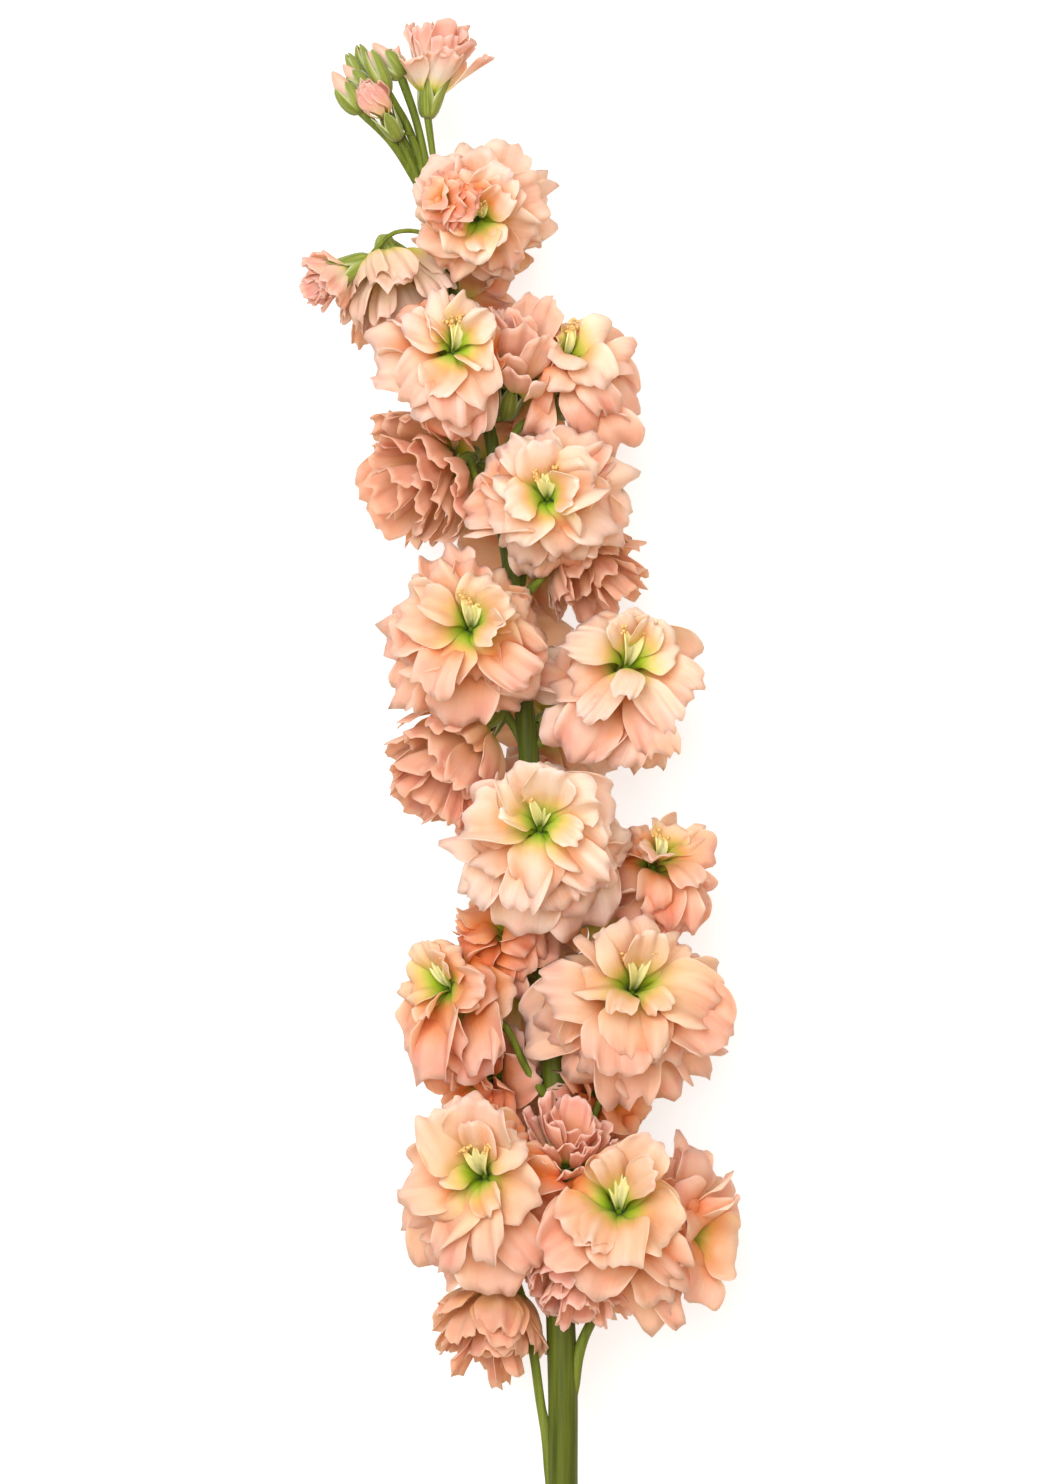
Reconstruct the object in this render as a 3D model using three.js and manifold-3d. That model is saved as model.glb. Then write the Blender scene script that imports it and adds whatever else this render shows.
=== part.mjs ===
// A cut stem of double-flowered stock, laid on a table.
// Millimetres. The stem runs along +Y with its tip at +Y, and +Z is up from the table.
// The stem with its flower stalks, calyces and green buds is one solid. Every bloom is one
// solid of petals in layers round a small core, set on its calyx with a hair of clearance.
import * as THREE from 'three';
import { mergeVertices } from 'three/addons/utils/BufferGeometryUtils.js';
import Module from 'manifold-3d';

const wasm = await Module();
wasm.setup();

// Driving dimensions
const STEM_HEIGHT = 24.5; // the stem's axis above the table
const CUT_Y = -70; // the cut end of the stem
const CUT_SLANT = 2.5; // how far the slanted cut leans over the stem's width
const STEM_RINGS = 16; // lengths that the stem is made in
const PETAL_THICK = 0.7;
const SEAT_GAP = 0.3; // between a bloom and its calyx, and round every stalk beside a petal
const WALL_GAP = 0.05; // what each bloom keeps from the wall between it and its neighbour
const FLOOR_SINK = 0.9; // how far petals press past the table before they are cut flat
const CALYX_RADIUS = 2.1;
const CALYX_LENGTH = 3.1; // in calyx radii
const STALK_RADIUS = 0.38; // in calyx radii
const STALK_REACH = 11; // how far below a bloom its stalk leaves the stem
const BUDS_FROM = 258; // where the stalks of the buds leave the stem
const NEIGHBOURS = 1.2; // blooms nearer than this, in their radii together, share a wall
const LEAST_ROOM = 0.25; // of the radius, the least that petals keep on the stem's side
const SQUEEZE_FROM = 0.55; // share of the way to a wall where petals begin to give way
const SQUEEZE_TO = 0.98; // share of that way which no petal passes
const PETAL_ROWS = [[0.7, 0.98, 2], [1, 0.9, 3]]; // share of length, share of width, points
const RIM_DROP = 0.93; // how far out a rim's corners reach, against its middle
const CURL = 0.55; // how much a petal's sides bend round its bloom
const BASE_DEPTH = 0.38; // of the radius, from a bloom's centre down to its calyx
const CORE_TOP = 0.12; // of the radius, from a bloom's centre up to its core's point
const CORE_WIDTH = 0.16; // of the radius
const BITE = 0.15; // how far a core runs past its seat before the seat is cut

// What each petal draws for itself, least and most: its length against the layer's, how far
// it is raised, its twist, the depth of its ruffle and of its hollow
const PETAL_DRAWS = {
  length: [0.9, 1.1],
  lift: [-0.06, 0.06],
  twist: [0.16, 0.3],
  ruffle: [0.05, 0.12],
  cup: [0.06, 0.18],
};

const COLOURS = {
  peach: '#f2c39b',
  pink: '#e8a68e',
  cream: '#f3cfa6',
  green: '#6f8636',
};

// The stem's axis seen from above, x and y, with the radius there
const STEM_LINE = [
  [2.0, CUT_Y, 3.0],
  [1.0, -35, 3.0],
  [0.6, 0, 3.0],
  [0.6, 16.8, 3.0],
  [0.0, 36.8, 2.9],
  [-0.4, 56.8, 2.85],
  [-0.8, 78.2, 2.75],
  [-2.4, 100.8, 2.5],
  [-4.4, 122.8, 2.25],
  [-6.6, 149.8, 2.0],
  [-8.4, 166.8, 1.95],
  [-9.8, 183.6, 1.85],
  [-12.0, 196.8, 1.6],
  [-13.6, 207.8, 1.4],
  [-16.0, 218.8, 1.25],
  [-19.6, 232.8, 1.1],
  [-22.8, 244.8, 1.0],
  [-25.2, 253.8, 0.95],
  [-27.2, 261.0, 0.9],
];

// A petal's middle line runs from its foot over a shoulder to its tip, each as [out, up] in
// radii of the bloom. count petals stand in the layer, width is half of the blade's widest.
const OUTER = { foot: [0.03, -0.26], shoulder: [0.62, 0.2], tip: [1.1, -0.42], width: 0.54 };
const DROOPING = { foot: [0.03, -0.26], shoulder: [0.78, 0.24], tip: [1.04, -0.78], width: 0.56 };
const MIDDLE = { foot: [0.03, -0.13], shoulder: [0.38, 0.5], tip: [0.98, 0.12], width: 0.46 };
const INNER = { foot: [0.02, -0.02], shoulder: [0.14, 0.42], tip: [0.52, 0.58], width: 0.32 };
const CUP_OUTER = { foot: [0.08, -0.72], shoulder: [0.5, -0.2], tip: [1.0, 0.42], width: 0.36 };
const CUP_MIDDLE = { foot: [0.04, -0.6], shoulder: [0.3, 0.1], tip: [0.56, 0.88], width: 0.34 };
const BUD_OUTER = { foot: [0.1, -0.9], shoulder: [0.9, -0.3], tip: [0.42, 0.8], width: 0.5 };
const BUD_MIDDLE = { foot: [0.04, -0.6], shoulder: [0.4, 0.1], tip: [0.24, 1.0], width: 0.34 };
const PLANS = {
  full: { layers: [[OUTER, 5], [MIDDLE, 4], [INNER, 2]], base: BASE_DEPTH },
  side: { layers: [[DROOPING, 5], [MIDDLE, 3]], base: BASE_DEPTH },
  under: { layers: [[OUTER, 4], [MIDDLE, 3]], base: BASE_DEPTH },
  small: { layers: [[OUTER, 4], [MIDDLE, 2]], base: BASE_DEPTH },
  cup: { layers: [[CUP_OUTER, 5], [CUP_MIDDLE, 3]], base: 0.75 },
  bud: { layers: [[BUD_OUTER, 4], [BUD_MIDDLE, 1]], base: 0.9 },
};

// Every bloom from the tip to the foot of the spike: its middle (x, y, rise above the stem),
// radius, the way its face looks (turn from +X round to +Y, lift from level), its petal plan
// and its tint.
const BLOOMS = [
  [-25.2, 281.6, 1, 10, 80, 5, 'cup', 'pink'],
  [-15.8, 254.4, 8, 15.5, -80, 78, 'full', 'peach'],
  [-44.0, 240.8, 6, 8.5, 214, 8, 'cup', 'pink'],
  [-32.0, 236.4, 1, 13.5, 195, 10, 'side', 'peach'],
  [-23.2, 223.2, 11.5, 15.0, 50, 66, 'full', 'peach'],
  [-8.0, 226.4, 1, 12, 75, 32, 'side', 'pink'],
  [5.0, 220.4, 3, 15, 50, 40, 'side', 'peach'],
  [-26.6, 201.0, 2, 15.5, 200, 10, 'side', 'pink'],
  [-1.4, 197.4, 11, 16.5, 100, 80, 'full', 'peach'],
  [6.0, 184.0, -3, 13, -30, -5, 'small', 'pink'],
  [-18.4, 168.4, 11.5, 18, 85, 76, 'full', 'peach'],
  [12.0, 159.6, 8, 17.5, 62, 64, 'full', 'peach'],
  [-20.4, 142.4, 0, 15, 205, 8, 'side', 'pink'],
  [-3.6, 127.6, 14, 19.5, 92, 72, 'full', 'peach'],
  [21.6, 121.0, 1, 13.5, 20, 30, 'side', 'peach'],
  [-11.0, 109.8, 0, 11.5, 120, 20, 'small', 'pink'],
  [-21.4, 97.0, 4, 16.5, 150, 48, 'full', 'peach'],
  [12.8, 94.6, 11, 20.5, 68, 64, 'full', 'peach'],
  [-15.0, 80.4, -5, 13, 210, -5, 'small', 'pink'],
  [10.4, 77.2, -4, 12.5, -20, 0, 'small', 'pink'],
  [2.2, 69.4, 8, 9.5, 80, 60, 'small', 'pink'],
  [-14.2, 60.2, 10, 20, 135, 72, 'full', 'peach'],
  [11.4, 50.4, 12, 20, 90, 62, 'full', 'peach'],
  [24.6, 48.4, 1, 17, 5, 22, 'side', 'pink'],
  [3.6, 38.6, 4, 11, -82, 35, 'small', 'pink'],
  [-12.6, 32.2, 1, 13.5, 220, 20, 'side', 'pink'],
  [-36.8, 276.2, 6, 4.2, 122, 20, 'bud', 'pink'],
  [9.0, 42.0, -14, 17, -60, -62, 'under', 'pink'],
  [-8.0, 60.5, -15.6, 16.5, 150, -66, 'under', 'peach'],
  [1.5, 80.8, -16, 15, 20, -72, 'under', 'peach'],
  [-9.0, 99.0, -15, 16.5, 170, -64, 'under', 'peach'],
  [8.0, 115.5, -14.5, 16.5, 30, -62, 'under', 'peach'],
  [-7.5, 134.0, -14.5, 16.5, 150, -64, 'under', 'peach'],
  [1.0, 153.5, -14, 16, 20, -62, 'under', 'peach'],
  [-15.0, 170.0, -14.2, 15.5, 160, -60, 'under', 'peach'],
  [-4.5, 187.0, -13, 15, 30, -62, 'under', 'peach'],
  [-17.5, 204.5, -13.2, 14.5, 150, -58, 'under', 'peach'],
  [-7.0, 222.0, -11.5, 14, 30, -60, 'under', 'peach'],
  [-24.0, 236.0, -10.5, 13, 150, -58, 'under', 'peach'],
  [-15.5, 249.0, -8.5, 11.5, 20, -55, 'small', 'peach'],
];

// Flower stalks that show, by bloom number: how far along the stem they leave it
const STALK_FROM = {
  1: 247, 3: 238, 7: 202, 8: 190, 9: 176, 17: 75, 18: 60, 22: 34, 24: 24, 26: 4, 27: 259,
};

// The outlines of buds, as [share of the length, share of the radius]
const BUD_CLOSED = [[0, 0], [0, 0.5], [0.4, 1], [0.85, 0.55], [1, 0]];
const BUD_OPEN = [[0, 0], [0, 0.5], [0.3, 1], [0.62, 0.9], [0.62, 0]];
const BUD_TIP = [[0.62, 0.86], [0.82, 0.66], [1, 0]];

// The closed buds of the tip: foot and point (x, y, rise), radius, a point that the stalk
// passes and whether petals show at the point
const BUDS = [
  [[-31.4, 281.4, 0.5], [-37.4, 288.2, 1.5], 2.3, [-29.4, 276.0, 0], true],
  [[-34.6, 278.4, 2.4], [-38.6, 287.2, 4.0], 1.9, [-31.0, 272.6, 1], false],
  [[-38.0, 281.4, -0.8], [-40.4, 288.2, -0.8], 1.5, [-34.4, 277.0, 0], false],
  [[-39.8, 281.0, 0.8], [-42.6, 286.2, 1.0], 1.2, [-36.0, 277.4, 0], false],
  [[-38.0, 278.2, 2.2], [-43.4, 283.8, 1.8], 1.9, [-34.0, 273.4, 1], true],
  [[-39.8, 274.0, 3.4], [-45.4, 282.0, 5.4], 2.3, [-33.6, 270.0, 2], true],
];

/** Draws numbers from 0 to 1, the same ones for the same seed. */
function makeDraw(seed) {
  let state = seed >>> 0;
  return () => {
    state = (state + 0x6d2b79f5) >>> 0;
    let mixed = Math.imul(state ^ (state >>> 15), 1 | state);
    mixed = (mixed + Math.imul(mixed ^ (mixed >>> 7), 61 | mixed)) ^ mixed;
    return ((mixed ^ (mixed >>> 14)) >>> 0) / 4294967296;
  };
}

/** Makes a solid of corner points and triangles, turned right side out. */
function solidOf(points, triangles) {
  const vertProperties = new Float32Array(points.flatMap((p) => [p.x, p.y, p.z]));
  const make = (list) => new wasm.Manifold(
    new wasm.Mesh({ numProp: 3, vertProperties, triVerts: new Uint32Array(list.flat()) }),
  );
  const solid = make(triangles);
  return solid.volume() < 0 ? make(triangles.map(([a, b, c]) => [a, c, b])) : solid;
}

/** Makes a solid of a three.js geometry whose poles and seams are closed up. */
function solidOfGeometry(geometry) {
  geometry.deleteAttribute('normal');
  geometry.deleteAttribute('uv');
  const merged = mergeVertices(geometry, 1e-4);
  const { position } = merged.attributes;
  const points = [];
  for (let i = 0; i < position.count; i += 1) {
    points.push(new THREE.Vector3().fromBufferAttribute(position, i));
  }
  const triangles = [];
  for (let i = 0; i < merged.index.count; i += 3) {
    const corners = [0, 1, 2].map((k) => merged.index.getX(i + k));
    if (new Set(corners).size === 3) triangles.push(corners);
  }
  return solidOf(points, triangles);
}

/** Joins solids into one. */
function joined(solids) {
  return solids.reduce((sum, solid) => sum.add(solid));
}

/** Keeps the largest body of a solid and drops loose scraps and sealed hollows. */
function largest(solid) {
  return solid.decompose().reduce((best, body) => (body.volume() > best.volume() ? body : best));
}

/**
 * A round stalk along a curve, with flat ends: radii are given at evenly spaced rings. grow
 * makes it larger on every flat side and at its far end.
 */
function stalk(points, radii, sides, grow) {
  const curve = new THREE.CatmullRomCurve3(points, false, 'centripetal');
  const last = radii.length - 1;
  const frames = curve.computeFrenetFrames(last, false);
  const corners = [];
  radii.forEach((bare, ring) => {
    const radius = bare + grow / Math.cos(Math.PI / sides);
    const middle = curve.getPointAt(ring / last);
    if (ring === last) middle.addScaledVector(frames.tangents[last], grow);
    for (let k = 0; k < sides; k += 1) {
      const angle = (2 * Math.PI * k) / sides;
      corners.push(middle.clone()
        .addScaledVector(frames.normals[ring], radius * Math.cos(angle))
        .addScaledVector(frames.binormals[ring], radius * Math.sin(angle)));
    }
  });
  const triangles = [];
  for (let ring = 0; ring < last; ring += 1) {
    for (let k = 0; k < sides; k += 1) {
      const a = ring * sides + k;
      const b = ring * sides + ((k + 1) % sides);
      triangles.push([a, b, a + sides], [b, b + sides, a + sides]);
    }
  }
  for (let k = 1; k < sides - 1; k += 1) {
    const top = last * sides;
    triangles.push([0, k + 1, k], [top, top + k, top + k + 1]);
  }
  return solidOf(corners, triangles);
}

/** A round body along a line, its outline given as [share of the length, radius]. */
function turned(foot, point, outline, sides) {
  const length = foot.distanceTo(point);
  const profile = outline.map(([share, radius]) => new THREE.Vector2(radius, share * length));
  const geometry = new THREE.LatheGeometry(profile, sides);
  const along = point.clone().sub(foot).normalize();
  const turn = new THREE.Quaternion().setFromUnitVectors(new THREE.Vector3(0, 1, 0), along);
  geometry.applyQuaternion(turn);
  geometry.translate(foot.x, foot.y, foot.z);
  return solidOfGeometry(geometry);
}

/** Triangles between two rows of corners, evenly shared out. */
function between(near, far) {
  const faces = [];
  let a = 0;
  let b = 0;
  while (a < near.length - 1 || b < far.length - 1) {
    const nearNext = a < near.length - 1 ? (a + 1) / (near.length - 1) : Infinity;
    const farNext = b < far.length - 1 ? (b + 1) / (far.length - 1) : Infinity;
    if (nearNext <= farNext) {
      faces.push([near[a], far[b], near[a + 1]]);
      a += 1;
    } else {
      faces.push([near[a], far[b], far[b + 1]]);
      b += 1;
    }
  }
  return faces;
}

/** A thin closed blade about a middle surface, given as rows of points from foot to rim. */
function blade(rows, thickness) {
  const middle = rows.flat();
  const count = middle.length;
  let used = 0;
  const corners = rows.map((row) => row.map(() => {
    used += 1;
    return used - 1;
  }));
  const face = corners.slice(1).flatMap((row, r) => between(corners[r], row));
  const normals = middle.map(() => new THREE.Vector3());
  for (const [a, b, c] of face) {
    const side = middle[b].clone().sub(middle[a]);
    const normal = side.cross(middle[c].clone().sub(middle[a]));
    [a, b, c].forEach((i) => normals[i].add(normal));
  }
  const offset = (sign) => middle.map((p, i) => p.clone()
    .addScaledVector(normals[i].clone().normalize(), (sign * thickness) / 2));
  const edge = [
    ...corners.map((row) => row[0]),
    ...corners.at(-1).slice(1),
    ...corners.slice(1, -1).map((row) => row.at(-1)).reverse(),
  ];
  const walls = edge.flatMap((a, i) => {
    const b = edge[(i + 1) % edge.length];
    return [[a, a + count, b], [b, a + count, b + count]];
  });
  const under = face.map(([a, b, c]) => [a + count, c + count, b + count]);
  return solidOf([...offset(1), ...offset(-1)], [...face, ...walls, ...under]);
}

/** The axis of the stem at a height along it, on the plane of the stem. */
function stemAt(y) {
  const next = Math.max(1, STEM_LINE.findIndex((knot) => knot[1] >= y));
  const [x0, y0, r0] = STEM_LINE[next - 1];
  const [x1, y1, r1] = STEM_LINE[next];
  const share = (y - y0) / (y1 - y0);
  const mix = (from, to) => from + share * (to - from);
  return { point: new THREE.Vector3(mix(x0, x1), y, STEM_HEIGHT), radius: mix(r0, r1) };
}

const blooms = BLOOMS.map(([x, y, rise, radius, turn, lift, plan, tint], i) => {
  const [a, b] = [turn, lift].map(THREE.MathUtils.degToRad);
  const axis = new THREE.Vector3(Math.cos(a) * Math.cos(b), Math.sin(a) * Math.cos(b), Math.sin(b));
  const centre = new THREE.Vector3(x, y, STEM_HEIGHT + rise);
  const seat = centre.clone().addScaledVector(axis, -PLANS[plan].base * radius);
  const calyx = Math.min(CALYX_RADIUS, 0.4 * radius);
  return { number: i + 1, centre, radius, axis, seat, calyx, plan: PLANS[plan], tint };
});

/** The flat walls round a bloom: its neighbours, the stem and the table. */
function wallsOf(bloom) {
  const keep = PETAL_THICK / 2 + WALL_GAP;
  const walls = [{ normal: new THREE.Vector3(0, 0, -1), reach: bloom.centre.z + FLOOR_SINK }];
  for (const other of blooms) {
    const gap = other.centre.clone().sub(bloom.centre);
    const distance = gap.length();
    if (other !== bloom && distance < NEIGHBOURS * (bloom.radius + other.radius)) {
      const share = bloom.radius / (bloom.radius + other.radius);
      walls.push({ normal: gap.divideScalar(distance), reach: share * distance - keep });
    }
  }
  if (bloom.centre.y < STEM_LINE.at(-1)[1]) {
    const near = stemAt(bloom.centre.y);
    const gap = near.point.sub(bloom.centre);
    const distance = gap.length();
    const room = distance - near.radius - SEAT_GAP - keep;
    walls.push({
      normal: gap.divideScalar(distance),
      reach: Math.max(room, LEAST_ROOM * bloom.radius),
    });
  }
  return walls;
}

/** Presses a point towards the bloom's centre so that it stays inside the bloom's walls. */
function pressed(point, bloom, walls) {
  const way = point.clone().sub(bloom.centre);
  const distance = way.length();
  if (distance < 1e-6) return point;
  way.divideScalar(distance);
  const room = walls.reduce((least, wall) => {
    const toward = wall.normal.dot(way);
    return toward > 1e-6 ? Math.min(least, wall.reach / toward) : least;
  }, Infinity);
  const share = distance / room;
  if (share <= SQUEEZE_FROM) return point;
  const spare = SQUEEZE_TO - SQUEEZE_FROM;
  const kept = SQUEEZE_FROM + spare * Math.tanh((share - SQUEEZE_FROM) / spare);
  return bloom.centre.clone().addScaledVector(way, kept * room);
}

/** The frame of a bloom: its face looks along the third axis. */
function frameOf(bloom) {
  const side = new THREE.Vector3(0, 1, 0).cross(bloom.axis);
  if (side.length() < 0.3) side.set(1, 0, 0).cross(bloom.axis);
  side.normalize();
  const up = bloom.axis.clone().cross(side);
  return (out, angle, height) => bloom.centre.clone()
    .addScaledVector(side, out * Math.cos(angle))
    .addScaledVector(up, out * Math.sin(angle))
    .addScaledVector(bloom.axis, height);
}

/** One petal: rows across its middle line, twisted and ruffled by the draw. */
function petal(bloom, walls, layer, angle, draw) {
  const { radius } = bloom;
  const inFrame = frameOf(bloom);
  const place = (out, swing, height) => pressed(inFrame(out, swing, height), bloom, walls);
  const [length, lift, twist, ruffle, cup] = Object.values(PETAL_DRAWS)
    .map(([least, most]) => least + (most - least) * draw());
  const line = new THREE.QuadraticBezierCurve(
    new THREE.Vector2(...layer.foot),
    new THREE.Vector2(layer.shoulder[0] * length, layer.shoulder[1] + lift),
    new THREE.Vector2(layer.tip[0] * length, layer.tip[1] + 2 * lift),
  );
  const rows = [[place(radius * layer.foot[0], angle, radius * layer.foot[1])]];
  for (const [share, wide, points] of PETAL_ROWS) {
    const at = line.getPoint(share);
    const rim = share === 1;
    rows.push(Array.from({ length: points }, (_, i) => {
      const u = (2 * i) / (points - 1) - 1;
      const across = u * layer.width * wide * radius;
      const out = radius * at.x * (rim && u !== 0 ? RIM_DROP : 1);
      const swing = angle + Math.atan2(across, Math.max(out, 0.35 * radius));
      const waves = rim ? ruffle * (u === 0 ? -1 : 1) : 0;
      const height = radius * (at.y + waves + cup * u * u * share) + across * twist;
      return place(Math.hypot(out, across * CURL), swing, height);
    }));
  }
  return blade(rows, PETAL_THICK);
}

/** The small core that the petals stand out of. */
function coreOf(bloom) {
  const { radius, axis, seat } = bloom;
  const top = bloom.centre.clone().addScaledVector(axis, CORE_TOP * radius);
  const foot = seat.clone().addScaledVector(axis, -BITE);
  const outline = [[0, 0], [0, 0.8 * bloom.calyx], [0.5, CORE_WIDTH * radius], [1, 0]];
  return turned(foot, top, outline, 4);
}

/** All petals of a bloom on its core. */
function headOf(bloom) {
  const draw = makeDraw(1009 * bloom.number);
  const walls = wallsOf(bloom);
  const parts = [coreOf(bloom)];
  bloom.plan.layers.forEach(([layer, count], level) => {
    const start = 2 * Math.PI * draw() + level;
    for (let k = 0; k < count; k += 1) {
      const angle = start + (2 * Math.PI * (k + 0.25 * (draw() - 0.5))) / count;
      parts.push(petal(bloom, walls, layer, angle, draw));
    }
  });
  return joined(parts);
}

/** A bloom's stalk and calyx, made larger all round by grow. */
function stalkOf(bloom, grow) {
  const from = STALK_FROM[bloom.number] ?? bloom.centre.y - STALK_REACH;
  const start = stemAt(Math.min(from, STEM_LINE.at(-1)[1] - 2)).point;
  const end = bloom.seat.clone().addScaledVector(bloom.axis, -SEAT_GAP);
  const collar = end.clone().addScaledVector(bloom.axis, -CALYX_LENGTH * bloom.calyx);
  const bend = start.clone().lerp(collar, 0.5);
  bend.y = start.y + 0.7 * (collar.y - start.y);
  const path = [start, bend, collar, end];
  const wide = bloom.calyx;
  const thin = STALK_RADIUS * wide;
  const radii = bloom.number in STALK_FROM
    ? [thin, thin, thin, thin, 0.9 * wide, wide]
    : [thin, 0.75 * wide, wide];
  return stalk(path, radii, 4, grow);
}

/** A point given as x, y and its rise above the stem. */
function aboveStem([x, y, rise]) {
  return new THREE.Vector3(x, y, STEM_HEIGHT + rise);
}

/** A green bud with its stalk, made larger all round by grow. */
function budOf([foot, point, radius, bend, opens], grow) {
  const [low, high, knee] = [foot, point, bend].map(aboveStem);
  const path = [stemAt(BUDS_FROM).point, knee, low.clone().lerp(high, 0.1)];
  const outline = opens ? BUD_OPEN : BUD_CLOSED;
  const sized = outline.map(([share, wide]) => [share, wide * (radius + grow)]);
  return stalk(path, [0.75, 0.7, 0.8], 4, grow).add(turned(low, high, sized, 6));
}

/** The petals at the point of an opening bud. */
function budTipOf([foot, point, radius]) {
  const [low, high] = [foot, point].map(aboveStem);
  const base = BUD_TIP[0][0] + SEAT_GAP / low.distanceTo(high);
  const sized = BUD_TIP.map(([share, wide]) => [Math.max(share, base), wide * radius]);
  return turned(low, high, [[base, 0], ...sized], 6);
}

/** The stem itself, tapered, with a slanted cut at its foot. */
function mainStem(grow) {
  const points = STEM_LINE.map(([x, y]) => new THREE.Vector3(x, y, STEM_HEIGHT));
  const curve = new THREE.CatmullRomCurve3(points, false, 'centripetal');
  const radii = Array.from({ length: STEM_RINGS + 1 }, (_, ring) => {
    const { y } = curve.getPointAt(ring / STEM_RINGS);
    return stemAt(Math.min(y, STEM_LINE.at(-1)[1])).radius;
  });
  return stalk(points, radii, 8, grow);
}

/** Everything green, made larger all round by grow. */
function greens(grow) {
  const parts = [mainStem(grow)];
  blooms.forEach((bloom) => parts.push(stalkOf(bloom, grow)));
  BUDS.forEach((bud) => parts.push(budOf(bud, grow)));
  return joined(parts);
}

/** The block that slants the cut end of the stem. */
function cutBlock() {
  const [x, y, radius] = STEM_LINE[0];
  const block = new THREE.BoxGeometry(20, 20, 20);
  block.translate(0, -10, 0);
  block.rotateX(Math.atan2(CUT_SLANT, 2 * radius));
  block.translate(x, y + 2, STEM_HEIGHT);
  return solidOfGeometry(block);
}

/** Everything below the table, which presses the lowest petals flat. */
function tableBlock() {
  const block = new THREE.BoxGeometry(400, 800, 40);
  block.translate(0, 100, -20);
  return solidOfGeometry(block);
}

const group = new THREE.Group();
group.name = 'stock';

/** Adds a solid to the group as a named mesh. */
function addMesh(name, solid, colour, roughness) {
  const mesh = solid.getMesh();
  const geometry = new THREE.BufferGeometry();
  const positions = new Float32Array(mesh.numVert * 3);
  for (let i = 0; i < mesh.numVert; i += 1) {
    for (let k = 0; k < 3; k += 1) {
      positions[3 * i + k] = mesh.vertProperties[mesh.numProp * i + k];
    }
  }
  geometry.setAttribute('position', new THREE.BufferAttribute(positions, 3));
  geometry.setIndex(new THREE.BufferAttribute(new Uint32Array(mesh.triVerts), 1));
  geometry.computeVertexNormals();
  const material = new THREE.MeshStandardMaterial({ color: colour, roughness, metalness: 0 });
  const object = new THREE.Mesh(geometry, material);
  object.name = name;
  group.add(object);
}

const stem = largest(greens(0).subtract(cutBlock()));
addMesh('stem', stem, COLOURS.green, 0.6);

const clearance = greens(SEAT_GAP);
const table = tableBlock();
for (const bloom of blooms) {
  const head = largest(headOf(bloom).subtract(clearance).subtract(table));
  const name = `bloom_${String(bloom.number).padStart(2, '0')}`;
  addMesh(name, head, COLOURS[bloom.tint], 0.55);
}

BUDS.filter((bud) => bud[4]).forEach((bud, i) => {
  const tip = largest(budTipOf(bud).subtract(clearance));
  addMesh(`bud_tip_${i + 1}`, tip, COLOURS.cream, 0.55);
});

// The origin is under the middle of the whole, on the table
const box = new THREE.Box3().setFromObject(group);
const middle = box.getCenter(new THREE.Vector3());
group.position.set(-middle.x, -middle.y, 0);
group.updateMatrixWorld(true);

export default group;
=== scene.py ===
"""A cut stem of double-flowered stock, laid on a pale table and seen from above.

Lengths are in millimetres until a mesh is made, and every mesh is in metres.
"""
from __future__ import annotations

import logging
import math
from dataclasses import dataclass, field
from enum import Enum
from typing import Any, Iterable, Sequence

import bpy
import numpy as np
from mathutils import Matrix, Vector


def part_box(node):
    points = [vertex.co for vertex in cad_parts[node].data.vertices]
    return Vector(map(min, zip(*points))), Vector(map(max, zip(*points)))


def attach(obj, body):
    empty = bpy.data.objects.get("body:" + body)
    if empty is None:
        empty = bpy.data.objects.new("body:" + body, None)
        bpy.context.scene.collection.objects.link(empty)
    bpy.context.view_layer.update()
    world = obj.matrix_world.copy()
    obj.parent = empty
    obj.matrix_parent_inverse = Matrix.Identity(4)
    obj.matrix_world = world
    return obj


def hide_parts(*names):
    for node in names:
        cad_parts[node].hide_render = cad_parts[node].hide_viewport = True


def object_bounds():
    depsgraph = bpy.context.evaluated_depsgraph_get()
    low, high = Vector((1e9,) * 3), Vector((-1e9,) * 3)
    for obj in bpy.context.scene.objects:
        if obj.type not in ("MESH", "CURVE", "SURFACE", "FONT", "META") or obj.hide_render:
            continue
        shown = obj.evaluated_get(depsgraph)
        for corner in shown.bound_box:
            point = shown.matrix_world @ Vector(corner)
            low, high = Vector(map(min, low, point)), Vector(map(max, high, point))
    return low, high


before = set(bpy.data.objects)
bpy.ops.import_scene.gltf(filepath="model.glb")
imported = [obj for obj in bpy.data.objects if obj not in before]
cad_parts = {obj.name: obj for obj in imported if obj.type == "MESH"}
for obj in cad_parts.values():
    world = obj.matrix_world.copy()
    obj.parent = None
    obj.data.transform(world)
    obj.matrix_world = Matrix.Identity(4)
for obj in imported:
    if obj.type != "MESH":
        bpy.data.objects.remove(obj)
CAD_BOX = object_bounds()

log = logging.getLogger("stock")

MM = 0.001
TINY = 1e-9
FULL_TURN = 2 * math.pi
STEM_HEIGHT = 24.5  # the stem's axis above the table
# The lowest y and the highest x of the stem's solid, as designed
STEM_FOOT_Y, STEM_SIDE_X = -69.25, 19.139
PICTURE_WIDE, PICTURE_HIGH = 1060, 1484  # in pixels
PICTURE_SCALE = 0.2  # millimetres to a pixel of the picture
PICTURE_AXIS = 560  # the pixel column of x = 0

Line = tuple[tuple[float, float], ...]
Range = tuple[float, float]
Values = dict[str | int, Any] | None
Array = np.ndarray
Socket = bpy.types.NodeSocket
Material = bpy.types.Material
Object = bpy.types.Object


class Habit(Enum):
    """How the petals of a bloom stand."""

    FULL = "full"
    SIDE = "side"
    ROSE = "rose"
    UNDER = "under"
    SMALL = "small"
    CUP = "cup"
    BELL = "bell"
    FAN = "fan"
    BUD = "bud"


class Tint(Enum):
    """How pink a bloom is, from cream at 0 to pink at 1."""

    CREAM = 0.1
    PEACH = 0.45
    ROSE = 0.68
    PINK = 1.05


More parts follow.
